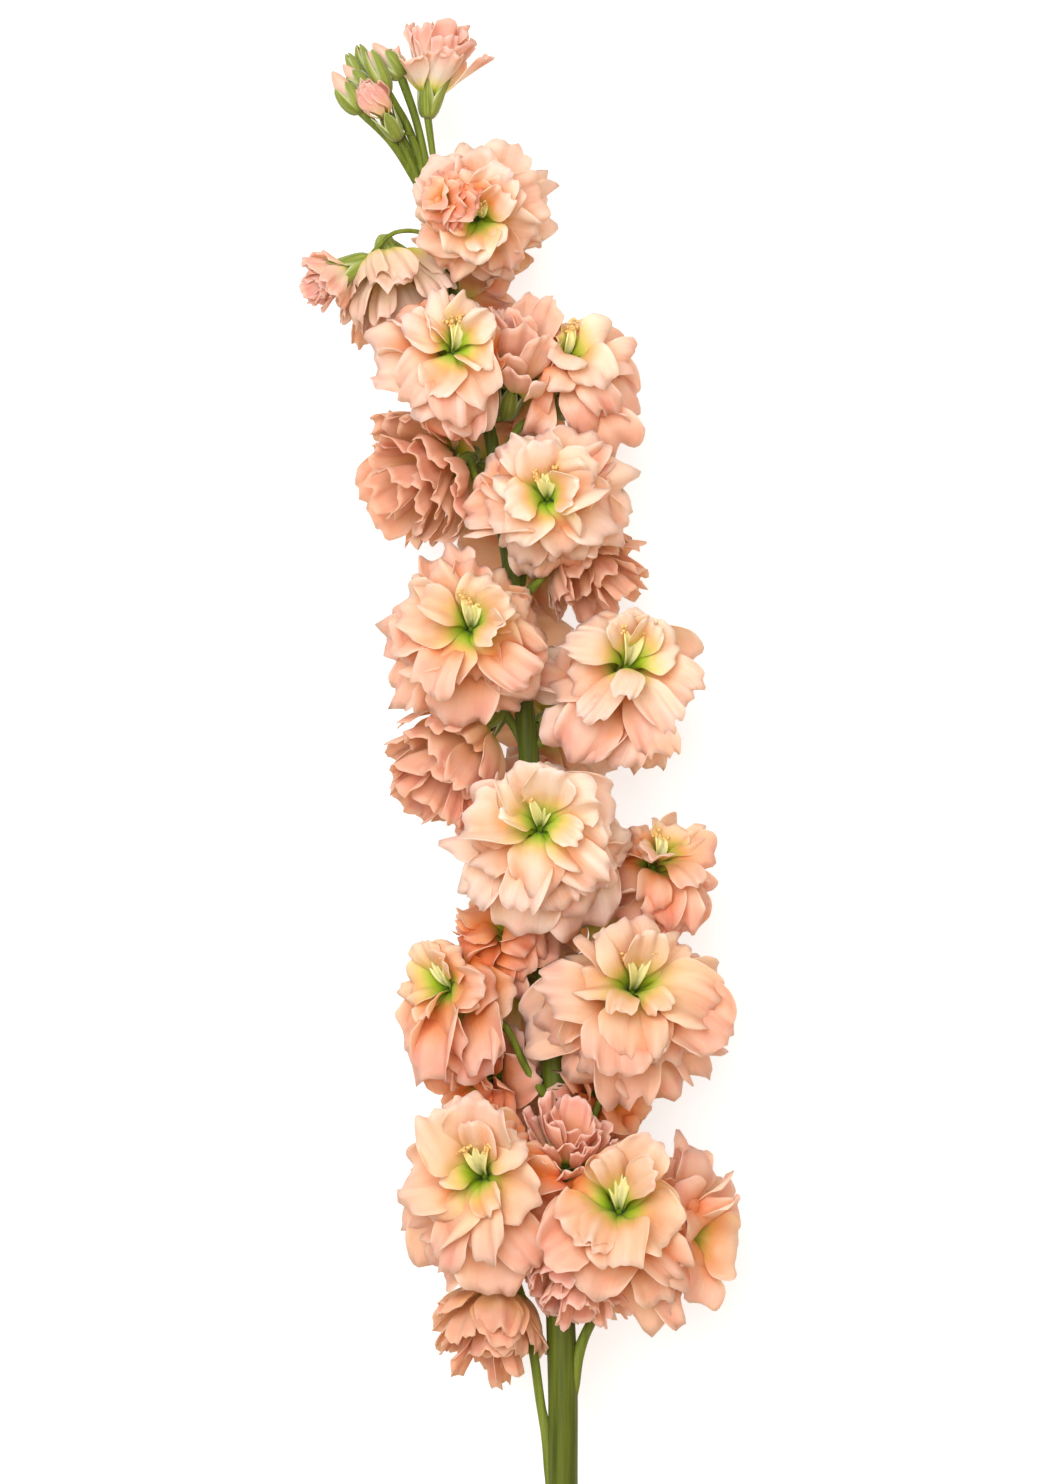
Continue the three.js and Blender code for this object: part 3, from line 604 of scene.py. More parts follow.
@dataclass(frozen=True)
class PetalFinish:
    """Thin velvety petals: green in the throat, cream, then peach or pink to a pale rim.

    The mesh carries along and across (a petal's own places), tone (how pink), draw (its own
    chance value), edge (how near its rim, where a painted highlight pales it), warm (how much
    painted shade it gets where the next whorl covers it), light (how much light reaches it,
    which sets how much painted shade it gets) and dim (how much painted shade darkens its
    bloom as it stands low among the others).
    """

    olive: tuple = linear(122, 150, 10)
    lime: tuple = linear(196, 216, 62)
    yellow: tuple = linear(250, 238, 156)
    cream: tuple = linear(255, 244, 222)
    peach: tuple = linear(254, 236, 216)
    blush: tuple = linear(254, 227, 213)
    apricot: tuple = linear(252, 224, 166)
    covered_shade_colour: tuple = linear(242, 184, 120)
    salmon: tuple = linear(250, 211, 176)
    pink: tuple = linear(249, 199, 174)
    flush: tuple = linear(243, 174, 162)
    # The colour of the painted highlight along the rims
    pale: tuple = linear(255, 236, 222)
    vein: tuple = linear(232, 166, 138)
    glow: tuple = linear(255, 224, 188)
    # What colours are multiplied by as painted shade: where little light reaches, in a pink
    # bloom's, in the throat's and over the blooms that stand low in the others' shadow
    shade: tuple = (0.98, 0.36, 0.08, 1.0)
    pink_shade: tuple = (0.98, 0.48, 0.32, 1.0)
    throat_shade: tuple = (0.62, 0.84, 0.3, 1.0)
    low_shade: tuple = (0.7, 0.4, 0.1, 1.0)
    ramp_end: float = 1.4  # the place along a petal where the ramps end
    # How strongly the painted highlight pales the rims
    rim_highlight: float = 0.45

    def make(self) -> Material:
        """Builds the material."""
        s = Shader("petal")
        along, across = s.attribute("along"), s.attribute("across")
        tone, draw, edge = s.attribute("tone"), s.attribute("draw"), s.attribute("edge")
        fibre = s.noise(s.joined(across * 9.0, along * 1.4, draw * 41.0), 3.0)
        thread = s.noise(s.joined(across * 26.0, along * 2.6, draw * 17.0), 2.0)
        cloud = s.noise(s.joined(across * 1.3, along * 1.8, draw * 63.0), 1.0)
        outer = along.rising(0.7, 1.1)

        reach = (along + (cloud - 0.5) * 0.2 + (fibre - 0.5) * 0.12) / self.ramp_end
        creamy = s.ramp(reach, (
            (0.05, self.olive), (0.17, self.lime), (0.30, self.yellow), (0.44, self.cream),
            (0.60, self.peach), (0.74, self.blush), (0.92, self.pink),
        ))
        rosy = s.ramp(reach, (
            (0.08, self.olive), (0.20, self.lime), (0.32, self.apricot), (0.52, self.salmon),
            (0.70, self.pink), (1.0, self.flush),
        ))
        colour = s.mix(tone.clamped(), creamy, rosy)
        # Painted shade on the part of a petal that the next whorl covers
        colour = s.mix(s.attribute("warm"), colour, self.covered_shade_colour)

        spots = cloud.rising(0.5, 0.75) * outer * (tone * 0.5 + 0.35)
        colour = s.mix(spots, colour, self.flush)
        veins = thread.rising(0.5, 0.75) * 0.13 + fibre.rising(0.52, 0.8) * 0.22
        colour = s.mix(veins * along.rising(0.6, 0.9), colour, self.vein)
        # Painted highlight: a pale line along the rim and sides, where the thin edge catches the
        # light
        colour = s.mix(edge * self.rim_highlight, colour, self.pale)

        # Painted shade: where the grid finds little light among the petals, the colour is
        # multiplied towards the shade colours, greener in the throat
        painted_shade = 1.0 - s.attribute("light").rising(0.16, 0.7)
        shade = s.mix(tone.rising(0.7, 1.1), self.shade, self.pink_shade)
        shade = s.mix(along.rising(0.3, 0.6), self.throat_shade, shade)
        colour = s.mix(painted_shade, colour, shade, "MULTIPLY")
        # Painted shade over the blooms that stand low in the shadow of the others, half as strong
        # at the petals' ends
        low = s.attribute("dim") * (1.0 - outer * 0.5)
        colour = s.mix(low, colour, self.low_shade, "MULTIPLY")
        return s.finish(
            {
                "Base Color": colour,
                "Roughness": 0.5 + thread * 0.12,
                "IOR": 1.4,
                "Subsurface Weight": 0.25,
                "Subsurface Radius": (1.0, 0.5, 0.28),
                "Subsurface Scale": 0.0012,
                "Specular IOR Level": 0.2,
                "Sheen Weight": 0.06,
                "Sheen Roughness": 0.5,
                "Normal": s.bump(fibre * 0.7 + thread * 0.3, 0.0005, 0.3),
            },
            self.glow,
            0.3,
        )


@dataclass(frozen=True)
class GreenFinish:
    """Green stem and stalks with a pale bloom on them and fine lengthwise ribs."""

    name: str
    deep: tuple
    mid: tuple
    pale: tuple
    frost: float
    frost_colour: tuple = linear(196, 206, 176)

    def make(self) -> Material:
        """Builds the material."""
        s = Shader(self.name)
        ribs = s.noise(s.place((900, 40, 900)), 3.0)
        cloud = s.noise(s.place((150, 26, 150)), 2.0)
        grain = s.noise(s.place((3600, 2400, 3600)), 2.0)
        colour = s.mix(ribs.rising(0.3, 0.7), self.deep, self.mid)
        colour = s.mix(cloud.rising(0.5, 0.8) * 0.5, colour, self.pale)
        colour = s.mix(grain.rising(0.55, 0.75) * self.frost, colour, self.frost_colour)
        return s.finish({
            "Base Color": colour,
            "Roughness": 0.5 + grain * 0.2,
            "Specular IOR Level": 0.25,
            "Sheen Weight": 0.06,
            "Sheen Roughness": 0.4,
            "Normal": s.bump(ribs * 0.6 + grain * 0.25, 0.0003, 0.5),
        })


@dataclass(frozen=True)
class SepalFinish:
    """Sepals: green down their middle and pale along their sides."""

    green: tuple = linear(116, 134, 44)
    yellow: tuple = linear(158, 168, 72)
    edge: tuple = linear(218, 220, 168)
    glow: tuple = linear(190, 210, 80)

    def make(self) -> Material:
        """Builds the material."""
        s = Shader("sepal")
        along, across = s.attribute("along"), s.attribute("across")
        fibre = s.noise(s.joined(across * 7.0, along * 1.5, s.attribute("draw") * 29.0), 3.0)
        grain = s.noise(s.place((2600, 2600, 2600)), 2.0)
        colour = s.mix(fibre.rising(0.35, 0.7), self.green, self.yellow)
        side = across.math("ABSOLUTE", across)
        colour = s.mix(side.rising(0.6, 1.0) * 0.7, colour, self.edge)
        colour = s.mix(grain.rising(0.55, 0.75) * 0.12, colour, self.edge)
        return s.finish(
            {
                "Base Color": colour,
                "Roughness": 0.5 + grain * 0.2,
                "IOR": 1.4,
                "Sheen Weight": 0.3,
                "Sheen Roughness": 0.4,
                "Subsurface Weight": 0.1,
                "Subsurface Scale": 0.001,
                "Normal": s.bump(fibre * 0.6 + grain * 0.3, 0.0003, 0.5),
            },
            self.glow,
            0.12,
        )


@dataclass(frozen=True)
class OrganFinish:
    """The pale narrow petals that stand in a throat, golden at their tips."""

    base: tuple = linear(160, 180, 50)
    pale: tuple = linear(236, 232, 168)
    gold: tuple = linear(232, 190, 104)

    def make(self) -> Material:
        """Builds the material."""
        s = Shader("organ")
        grain = s.noise(s.place((3000, 3000, 3000)), 2.0)
        colour = s.ramp(s.attribute("along"), (
            (0.05, self.base), (0.35, self.pale), (0.82, self.pale), (0.95, self.gold),
        ))
        return s.finish({
            "Base Color": s.mix(grain.rising(0.5, 0.8) * 0.25, colour, self.gold),
            "Roughness": 0.45 + grain * 0.2,
            "IOR": 1.4,
            "Subsurface Weight": 0.3,
            "Subsurface Radius": (1.0, 0.8, 0.3),
            "Subsurface Scale": 0.001,
            "Normal": s.bump(grain, 0.0002, 0.4),
        })


@dataclass(frozen=True)
class GrainFinish:
    """One colour broken up by a fine grain."""

    name: str
    light: tuple
    dark: tuple
    roughness: float
    scale: float

    def make(self) -> Material:
        """Builds the material."""
        s = Shader(self.name)
        grain = s.noise(s.place((self.scale,) * 3), 3.0)
        return s.finish({
            "Base Color": s.mix(grain, self.light, self.dark),
            "Roughness": self.roughness + grain * 0.1,
        })


@dataclass
class Skin:
    """Closed shells gathered into one mesh, with values carried at their corners."""

    points: list[Array] = field(default_factory=list)
    faces: list[Array] = field(default_factory=list)
    flat: list[Array] = field(default_factory=list)
    values: dict[str, list[Array]] = field(default_factory=dict)
    used: int = 0

    def add(self, points: Array, faces: Array, flat: Array, **values: Any) -> None:
        """Adds one closed shell.

        Args:
            points: its corners in designed millimetres.
            faces: its four-sided faces, as corners.
            flat: whether each face is shaded flat.
            values: what is carried at the corners, an array for each name.
        """
        self.points.append(points)
        self.faces.append(faces + self.used)
        self.flat.append(flat)
        for name, value in values.items():
            self.values.setdefault(name, []).append(value)
        self.used += len(points)

    def add_blade(self, middle: Array, thickness: Array, **values: Any) -> None:
        """Adds a thin closed blade about a grid of points.

        Args:
            middle: the grid, rows by columns by 3.
            thickness: at the points of the grid.
            values: what is carried, each one number or a grid.
        """
        rows, columns = middle.shape[:2]
        across, along = np.gradient(middle, axis=1), np.gradient(middle, axis=0)
        offset = normalised(np.cross(across, along)) * thickness[..., None] / 2
        points = np.stack([middle + offset, middle - offset]).reshape(-1, 3)

        index = np.arange(rows * columns).reshape(rows, columns)
        under = rows * columns
        a, b, c, d = index[:-1, :-1], index[:-1, 1:], index[1:, 1:], index[1:, :-1]
        upper = np.stack([a, b, c, d], -1).reshape(-1, 4)
        lower = np.stack([a, d, c, b], -1).reshape(-1, 4) + under
        border = [index[0, :-1], index[:-1, -1], index[-1, :0:-1], index[:0:-1, 0]]
        loop = np.concatenate(border)
        after = np.roll(loop, -1)
        wall = np.stack([after, loop, loop + under, after + under], -1)
        flat = np.repeat([False, True], [2 * len(upper), len(wall)])
        carried = {
            name: np.tile(np.broadcast_to(np.asarray(value, float), (rows, columns)).ravel(), 2)
            for name, value in values.items()
        }
        self.add(points, np.concatenate([upper, lower, wall]), flat, **carried)

    def add_round(self, rings: Array, **values: Any) -> None:
        """Adds a closed round body.

        Args:
            rings: its rings of points from end to end, rings by sides by 3. The end rings
                are closed with a fan of four-sided faces round their middles.
            values: what is carried, each one number or one number for every ring.
        """
        count, sides = rings.shape[:2]
        index = np.arange(count * sides).reshape(count, sides)
        after = np.roll(index, -1, axis=1)
        skin = np.stack([index[:-1], after[:-1], after[1:], index[1:]], -1).reshape(-1, 4)
        every = np.arange(0, sides, 2)
        a, b, c = (index[:, (every + k) % sides] for k in range(3))
        foot = np.full(len(every), count * sides)
        low = np.stack([foot, c[0], b[0], a[0]], -1)
        high = np.stack([foot + 1, a[-1], b[-1], c[-1]], -1)
        faces = np.concatenate([skin, low, high])
        middles = rings[[0, -1]].mean(1)
        carried = {}
        for name, value in values.items():
            ring = np.broadcast_to(np.asarray(value, float), (count,))
            carried[name] = np.concatenate([np.repeat(ring, sides), [ring[0], ring[-1]]])
        points = np.concatenate([rings.reshape(-1, 3), middles])
        self.add(points, faces, np.zeros(len(faces), bool), **carried)

    def make(self, name: str, material: Material) -> Object:
        """Makes the object, its place in its mesh.

        Args:
            name: the piece's name.
            material: its one material.

        Returns:
            The new object.
        """
        points = (np.concatenate(self.points) + SHIFT) * MM
        faces = np.concatenate(self.faces)
        mesh = bpy.data.meshes.new(name)
        mesh.vertices.add(len(points))
        mesh.vertices.foreach_set("co", points.astype(np.float32).ravel())
        mesh.loops.add(faces.size)
        mesh.loops.foreach_set("vertex_index", faces.astype(np.int32).ravel())
        mesh.polygons.add(len(faces))
        mesh.polygons.foreach_set("loop_start", np.arange(0, faces.size, 4, dtype=np.int32))
        mesh.polygons.foreach_set("use_smooth", ~np.concatenate(self.flat))
        mesh.update(calc_edges=True)
        for key, values in self.values.items():
            carried = mesh.attributes.new(key, "FLOAT", "POINT")
            carried.data.foreach_set("value", np.concatenate(values).astype(np.float32))
        mesh.materials.append(material)
        return in_scene(name, mesh)


class Depths:
    """How much of the light reaches a place among the petals, found on a grid of cubes."""

    CELL = 1.0  # the side of a cube
    REACH = 12  # how many cubes away a face still keeps light off
    BLOCKING = 0.2  # how much of the light a square millimetre of face keeps from its cube

    def __init__(self, skins: Sequence[Skin]) -> None:
        """Fills the grid.

        Args:
            skins: whose faces keep the light off.
        """
        corners = np.concatenate([
            np.concatenate(skin.points)[np.concatenate(skin.faces)] for skin in skins
        ])
        cross = np.cross(corners[:, 2] - corners[:, 0], corners[:, 3] - corners[:, 1])
        middle, area = corners.mean(1), np.linalg.norm(cross, axis=1) / 2
        self.low = middle.min(0) - (self.REACH + 1) * self.CELL
        cell = np.floor((middle - self.low) / self.CELL).astype(int)
        shape = tuple(cell.max(0) + self.REACH + 2)
        flat = np.ravel_multi_index(tuple(cell.T), shape)
        filled = np.bincount(flat, area * self.BLOCKING, math.prod(shape)).reshape(shape)
        ways = [normalised(np.array(way) - 1.0) for way in np.ndindex(3, 3, 3) if way != (1, 1, 1)]
        total = np.zeros(shape)
        for way in ways:
            path = np.zeros(shape)
            for k in range(1, self.REACH + 1):
                path += np.roll(filled, tuple(-np.rint(way * k).astype(int)), (0, 1, 2))
            total += np.exp(-path)
        self.open = total / len(ways)

    def at(self, points: Array) -> Array:
        """The share of the light that reaches each place.

        Args:
            points: the places in designed millimetres.

        Returns:
            The shares, from 0 to 1.
        """
        place = (points - self.low) / self.CELL - 0.5
        base = np.floor(place).astype(int)
        part = place - base
        found = np.zeros(len(points))
        for corner in np.ndindex(2, 2, 2):
            weight = np.prod(np.where(corner, part, 1 - part), axis=1)
            index = np.clip(base + corner, 0, np.array(self.open.shape) - 1)
            found += weight * self.open[tuple(index.T)]
        return found


@dataclass
class Bloom:
    """One double bloom: petals in whorls round a throat.

    number is its place in BLOOMS, counted from 1, and 0 for a heart. axis is the way that its
    face looks. Each Range is the least and the most that a petal's number is drawn from, and
    from bend on they are how far it stands off its middle surface, in its half widths.
    Thicknesses are in millimetres.
    """

    number: int
    centre: Array
    radius: float
    axis: Array
    habit: Habit
    tint: Tint
    petal_thick: float = 0.2
    rim_thick: float = 0.1
    length: Range = (0.74, 1.05)  # a petal's, of the room to the outline
    width: Range = (0.72, 1.34)  # of its whorl's half width
    lean: Range = (-0.14, 0.12)  # how far a petal stands up or down
    tip: Range = (-0.12, 0.12)  # and its rim by itself
    turn: Range = (-0.28, 0.28)  # its twist and its swing, in radians
    own_tone: Range = (-0.14, 0.14)  # how much pinker than its bloom
    rim_waves: Line = ((1.2, 0.020), (2.5, 0.018), (4.0, 0.014))  # half turns, height
    notch: Range = (0.0, 0.06)  # how deep, of its length
    bend: Range = (-0.16, 0.16)
    trough: float = 0.45  # how far the narrow foot is folded up
    low_wave: Range = (0.05, 0.20)
    mid_wave: Range = (0.10, 0.24)
    crease: Range = (0.0, 0.10)
    ruffle: Range = (0.06, 0.15)
    fold: Range = (0.3, 0.6)
    fold_chance: float = 0.3
    curl: Range = (-0.15, 0.25)
    skin: Skin = field(default_factory=Skin)
    organs: list[Array] = field(default_factory=list)
    form: Form = field(init=False)
    draw: np.random.Generator = field(init=False)
    seat: Array = field(init=False)
    side: Array = field(init=False)
    up: Array = field(init=False)
    offset: Array = field(init=False)
    walls: tuple[Array, Array] = field(init=False)
    calyx_radius: float = field(init=False)
    calyx_length: float = field(init=False)
    calyx_foot: Array = field(init=False)
    blush: float = field(init=False)
    narrow: float = field(init=False)

    def __post_init__(self) -> None:
        """Settles the bloom's own directions, its calyx and where its throat lies."""
        form = FORMS[self.habit]
        self.form = form
        self.seat = self.centre - self.axis * form.seat * self.radius
        side = np.cross([0.0, 1.0, 0.0], self.axis)
        if np.linalg.norm(side) < 0.3:
            side = np.cross([1.0, 0.0, 0.0], self.axis)
        self.side = normalised(side)
        self.up = np.cross(self.axis, self.side)
        self.offset = self.throat_offset()
        self.calyx_radius = min(CALYX_RADIUS, 0.4 * self.radius)
        self.calyx_length = CALYX_LENGTH * self.calyx_radius
        self.calyx_foot = self.seat - (form.calyx * self.calyx_length + 0.3) * self.axis
        self.blush = form.blush
        # A large bloom has more petals, and each is narrower in its radii
        self.narrow = min(1.0, 0.5 + 7.2 / self.radius)
        self.draw = np.random.default_rng(SEED_STEP * self.number + CHANCES.get(self.number, 0))

    def throat_offset(self) -> Array:
        """How far the throat lies off the middle, in the bloom's plane and in its radii."""
        if self.number not in THROATS:
            return np.array([0.0, self.form.throat])
        x, y = THROATS[self.number]
        wanted = np.array([x - PICTURE_AXIS, PICTURE_HIGH - y]) * PICTURE_SCALE
        rise = THROAT_RISE * self.radius * self.axis[:2]
        span = np.array([self.side[:2], self.up[:2]]).T
        found = np.linalg.solve(span, wanted - self.centre[:2] - rise) / self.radius
        return found * min(1.0, THROAT_FURTHEST / max(np.linalg.norm(found), TINY))

    def find_walls(self, blooms: Sequence["Bloom"]) -> None:
        """Finds the planes that hold this bloom's petals in.

        They stand at the sides of the CAD box and the table, and between this bloom and its
        neighbours and the stem.

        Args:
            blooms: all the blooms.
        """
        low, high = (np.array(corner) / MM - SHIFT for corner in CAD_BOX)
        normals = [*np.eye(3), *-np.eye(3)]
        reaches = [BOX_SHARE * room for room in (*(high - self.centre), *(self.centre - low))]
        for other in blooms:
            gap = other.centre - self.centre
            distance = float(np.linalg.norm(gap))
            if other is not self and distance < NEAR * (self.radius + other.radius):
                share = self.radius / (self.radius + other.radius)
                normals.append(gap / distance)
                reaches.append(OVERLAP * share * distance)
        if self.centre[1] < STEM_LINE[-1][1]:
            near, thick = stem_at(self.centre[1])
            gap = near - self.centre
            distance = float(np.linalg.norm(gap))
            normals.append(gap / distance)
            reaches.append(max(distance + 2 * thick, 0.6 * self.radius))
        self.walls = (np.array(normals), np.array(reaches))

    def pressed(self, points: Array) -> Array:
        """Presses points towards the middle, inside the walls, and out of the stem.

        Args:
            points: places in designed millimetres.

        Returns:
            Where the places go.
        """
        normals, reaches = self.walls
        way = points - self.centre
        toward = normalised(way) @ normals.T
        rooms = np.where(toward > TINY, reaches / np.maximum(toward, TINY), np.inf)
        share = np.linalg.norm(way, axis=-1) / rooms.min(-1)
        rest = 1 - PRESS_FROM
        bent = PRESS_FROM + rest * np.tanh((share - PRESS_FROM) / rest)
        scale = np.where(share > PRESS_FROM, bent / np.maximum(share, TINY), 1.0)
        points = self.centre + way * scale[..., None]
        axis, thick = stem_at(points[..., 1])
        off = points - axis
        push = np.maximum(thick + STEM_ROOM - np.linalg.norm(off, axis=-1), 0.0)
        push = np.where(points[..., 1] < STEM_LINE[-1][1], push, 0.0)
        return points + normalised(off) * push[..., None]

    def reach(self, angle: float) -> float:
        """How far the bloom's round outline is from its throat at an angle, in radii."""
        way = np.array([math.cos(angle), math.sin(angle)])
        along = float(self.offset @ way)
        return -along + math.sqrt(max(0.05, 1 - float(self.offset @ self.offset) + along**2))

    def place(self, out: Any, across: Any, angle: Any, height: Any) -> Array:
        """From the throat's own round coordinates to designed millimetres.

        Args:
            out: how far off the throat's axis, in radii.
            across: how far beside that line, in radii.
            angle: how far round the axis.
            height: how far up the axis, in radii.

        Returns:
            The places.
        """
        x = out * np.cos(angle) - across * np.sin(angle) + self.offset[0]
        y = out * np.sin(angle) + across * np.cos(angle) + self.offset[1]
        local = x[..., None] * self.side + y[..., None] * self.up + height[..., None] * self.axis
        stretch = np.array([1.0, STRETCH.get(self.number, 1.0), 1.0])
        return self.centre + self.radius * stretch * local

    def rim(self, u: Array, depth: float) -> Array:
        """The outline of a petal's end: round, scalloped and notched.

        Args:
            u: the places across, from -1 to 1.
            depth: how long the round end is, as a share of the petal's length.

        Returns:
            The length there as a share of the petal's.
        """
        draw = self.draw
        line = 1 - depth * (1 - (1 - np.abs(0.985 * u) ** 2.3) ** 0.45)
        for turns, size in self.rim_waves:
            count, start = turns * draw.uniform(0.8, 1.2), draw.uniform(0, 2)
            line = line + size * np.sin(math.pi * (count * u + start))
        middle, depth = draw.uniform(-0.6, 0.6), draw.uniform(*self.notch)
        return line - depth * np.exp(-(((u - middle) / draw.uniform(0.2, 0.34)) ** 2))

    def relief(self, s: Array, u: Array, hollow: float) -> Array:
        """How far a petal stands off its own middle surface, in its half widths.

        Args:
            s: the places along, from 0 to 1.
            u: the places across, from -1 to 1.
            hollow: how far its sides bend up.

        Returns:
            The heights.
        """
        draw = self.draw

        def wave(turns: float, spread: float) -> Array:
            """A wave across the petal with about so many half turns."""
            count = turns + spread * draw.uniform(-1, 1)
            return np.sin(math.pi * (count * u + draw.uniform(0, 2)))

        # The sides' bend, the foot's trough, wide and narrow waves, the middle's crease, the
        # rim's ruffle, now and then a fold, and the rim's curl
        height = (hollow + draw.uniform(*self.bend)) * smooth_step(s, 0.15, 0.8) * u**2
        height = height - self.trough * np.exp(-((s / 0.32) ** 2)) * u**2
        height = height + draw.uniform(*self.low_wave) * s**2 * wave(0.8, 0.3)
        height = height + draw.uniform(*self.mid_wave) * s**2 * wave(1.7, 0.4)
        crease = draw.uniform(*self.crease) * np.sin(math.pi * s)
        height = height - crease * np.exp(-((u / 0.2) ** 2))
        height = height + draw.uniform(*self.ruffle) * s**5 * wave(3.2, 0.5)
        if draw.random() < self.fold_chance:
            fold = draw.uniform(*self.fold)
            height = height + fold * (np.sqrt(u**2 + 0.02) - 0.14) * smooth_step(s, 0.05, 0.5)
        return height + draw.uniform(*self.curl) * smooth_step(s, 0.7, 1.0) ** 2

    def petal_line(self, whorl: Whorl, angle: float) -> tuple[Array, float, float]:
        """The middle line of one petal.

        Args:
            whorl: the ring that it stands in.
            angle: where it stands in the ring.

        Returns:
            The control points of the line, its length and half of the petal's width, in radii.
        """
        draw = self.draw
        length = draw.uniform(*self.length) * self.reach(angle)
        half = whorl.half_width * self.narrow * draw.uniform(*self.width)
        line = np.array(whorl.line)
        line[1:, 0] *= length
        line[:, 1] += draw.uniform(*self.lean) * np.array([0.0, 0.4, 1.0, 1.4])
        line[3, 1] += draw.uniform(*self.tip)
        if whorl.warm == 0.0 and self.habit is Habit.FULL:
            line[2:, 1] += INNER_RISE * max(0.0, math.sin(angle)) * np.array([0.6, 1.0])
        path, _ = bezier(line, np.linspace(0, 1, 17))
        furthest = max(1.0, path[:, 0].max() / self.reach(angle))
        line[:, 0] /= furthest
        path[:, 0] /= furthest
        return line, float(np.linalg.norm(np.diff(path, axis=0), axis=1).sum()), half

    def petal(self, whorl: Whorl, angle: float) -> None:
        """Adds one petal to the skin.

        Args:
            whorl: the ring that it stands in.
            angle: where it stands in the ring.
        """
        draw = self.draw
        rows, columns = whorl.grid
        s = np.linspace(0, 1, rows + 1)[:, None] ** 0.9
        u = np.sin(math.pi / 2 * np.linspace(-1, 1, columns + 1))[None, :]
        line, span, half = self.petal_line(whorl, angle)
        t = s * (1 - (1 - self.rim(u, 0.9 * half / span)) * s**1.5)
        middle, tangent = bezier(line, t)
        wide = 0.2 + 0.8 * smooth_step(s, 0.16, 0.76)
        x = u * wide * half
        h = self.form.calm * self.relief(s, u, whorl.hollow) * wide * half
        twist = (0.15 + draw.uniform(*self.turn)) * smooth_step(s, 0.1, 0.7)
        across = x * np.cos(twist) - h * np.sin(twist)
        h = h * np.cos(twist) + x * np.sin(twist)
        swing = angle + draw.uniform(*self.turn) * s**2
        out = middle[..., 0] - h * tangent[..., 1]
        height = middle[..., 1] + h * tangent[..., 0]
        points = self.pressed(self.place(out, across, swing, height))
        thick = self.rim_thick + (self.petal_thick - self.rim_thick) * (1 - s**3)
        sides = smooth_step(np.abs(u), 0.88, 1.0) * smooth_step(s, 0.3, 0.6)
        tone = self.tint.value + whorl.tone * min(1.0, 0.3 + 2.4 * self.tint.value)
        tone = tone + draw.uniform(*self.own_tone) + self.blush * smooth_step(s, 0.6, 1.0)
        self.skin.add_blade(
            points, thick, along=self.form.green + t * span, across=u * wide,
            # near the rim and the sides, where the material paints a pale highlight
            edge=np.maximum(smooth_step(s, 0.92, 1.0), sides),
            # painted shade where the next whorl covers the petal, fading out towards the rim
            warm=whorl.warm * (1 - smooth_step(s, 0.4, 0.85)), tone=tone,
            # painted shade over the whole bloom where it stands low in the others' shadow
            draw=draw.random(), dim=SHADED_BLOOMS.get(self.number, 0.0),
        )

    def throat(self, organs: Skin) -> None:
        """Adds the narrow petals that stand in the throat.

        Args:
            organs: what they are added to.
        """
        draw = self.draw
        count, foot = self.form.organs, self.form.organ_foot
        s = np.linspace(0, 1, 10)[:, None]
        u = np.linspace(-1, 1, 7)[None, :]
        for k in range(count):
            angle = math.pi / 2 + 0.55 * (k + 0.5 - count / 2) + draw.uniform(-0.15, 0.15)
            top, lean = draw.uniform(0.42, 0.60), draw.uniform(0.20, 0.32)
            half = draw.uniform(0.8, 1.05) / self.radius
            line = ((0.03, foot), (0.04, foot + 0.4 * top), (0.5 * lean, foot + 0.8 * top),
                    (lean, foot + top))
            middle, tangent = bezier(line, s)
            wide = (0.45 + 0.55 * np.sin(math.pi * s**1.2)) * np.sqrt(1 - s**6 * 0.8)
            h = 0.75 * half * wide * u**2
            out = middle[..., 0] - h * tangent[..., 1]
            height = middle[..., 1] + h * tangent[..., 0]
            points = self.place(out, u * wide * half, angle, height)
            organs.add_blade(points, ORGAN_THICK * (1 - 0.6 * u**2), along=s)
            self.organs.append(points[-1, 3])

    def core(self) -> None:
        """Adds the small body that the petals grow from."""
        t = np.linspace(0, 1, 7)[:, None]
        turn = np.linspace(0, FULL_TURN, 10, endpoint=False)
        wide = 0.02 + 0.1 * np.sin(math.pi * (0.25 + 0.75 * t)) ** 0.7
        rings = self.place(wide, 0.0, turn, self.form.core * t - self.form.seat)
        self.skin.add_round(rings, along=0.06 + self.form.green, tone=0.0, draw=0.5, **UNMARKED)

    def rings(self) -> None:
        """Adds the core and every whorl round it to the skin."""
        self.core()
        for level, whorl in enumerate(self.form.whorls):
            start = FULL_TURN * self.draw.random() + level
            count = round(whorl.count / self.narrow)
            for k in range(count):
                angle = start + FULL_TURN * (k + 0.32 * self.draw.uniform(-1, 1)) / count
                self.petal(whorl, angle)

    def grow(self, organs: Skin) -> None:
        """Grows the bloom's petals.

        Args:
            organs: what the narrow petals of its throat are added to.
        """
        self.rings()
        if self.number in HEARTS:
            place, radius, turn, lift = HEARTS[self.number]
            heart = Bloom(
                0, above_stem(place), radius, direction(turn, lift), Habit.ROSE, Tint.ROSE
            )
            heart.walls, heart.blush = self.walls, HEART_BLUSH
            heart.skin, heart.draw = self.skin, self.draw
            heart.rings()
        self.throat(organs)

    def build(self, depths: Depths, petals: Material) -> Object:
        """Makes the bloom's piece.

        Args:
            depths: how much light reaches each place.
            petals: the petals' material.

        Returns:
            The piece, in place of the bloom's CAD node.
        """
        least, more = self.form.lit
        light = least + more * depths.at(np.concatenate(self.skin.points))
        self.skin.values["light"] = [light]
        made = self.skin.make(f"petals_{self.number:02d}", petals)
        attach(made, "root")
        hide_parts(f"bloom_{self.number:02d}")
        return made


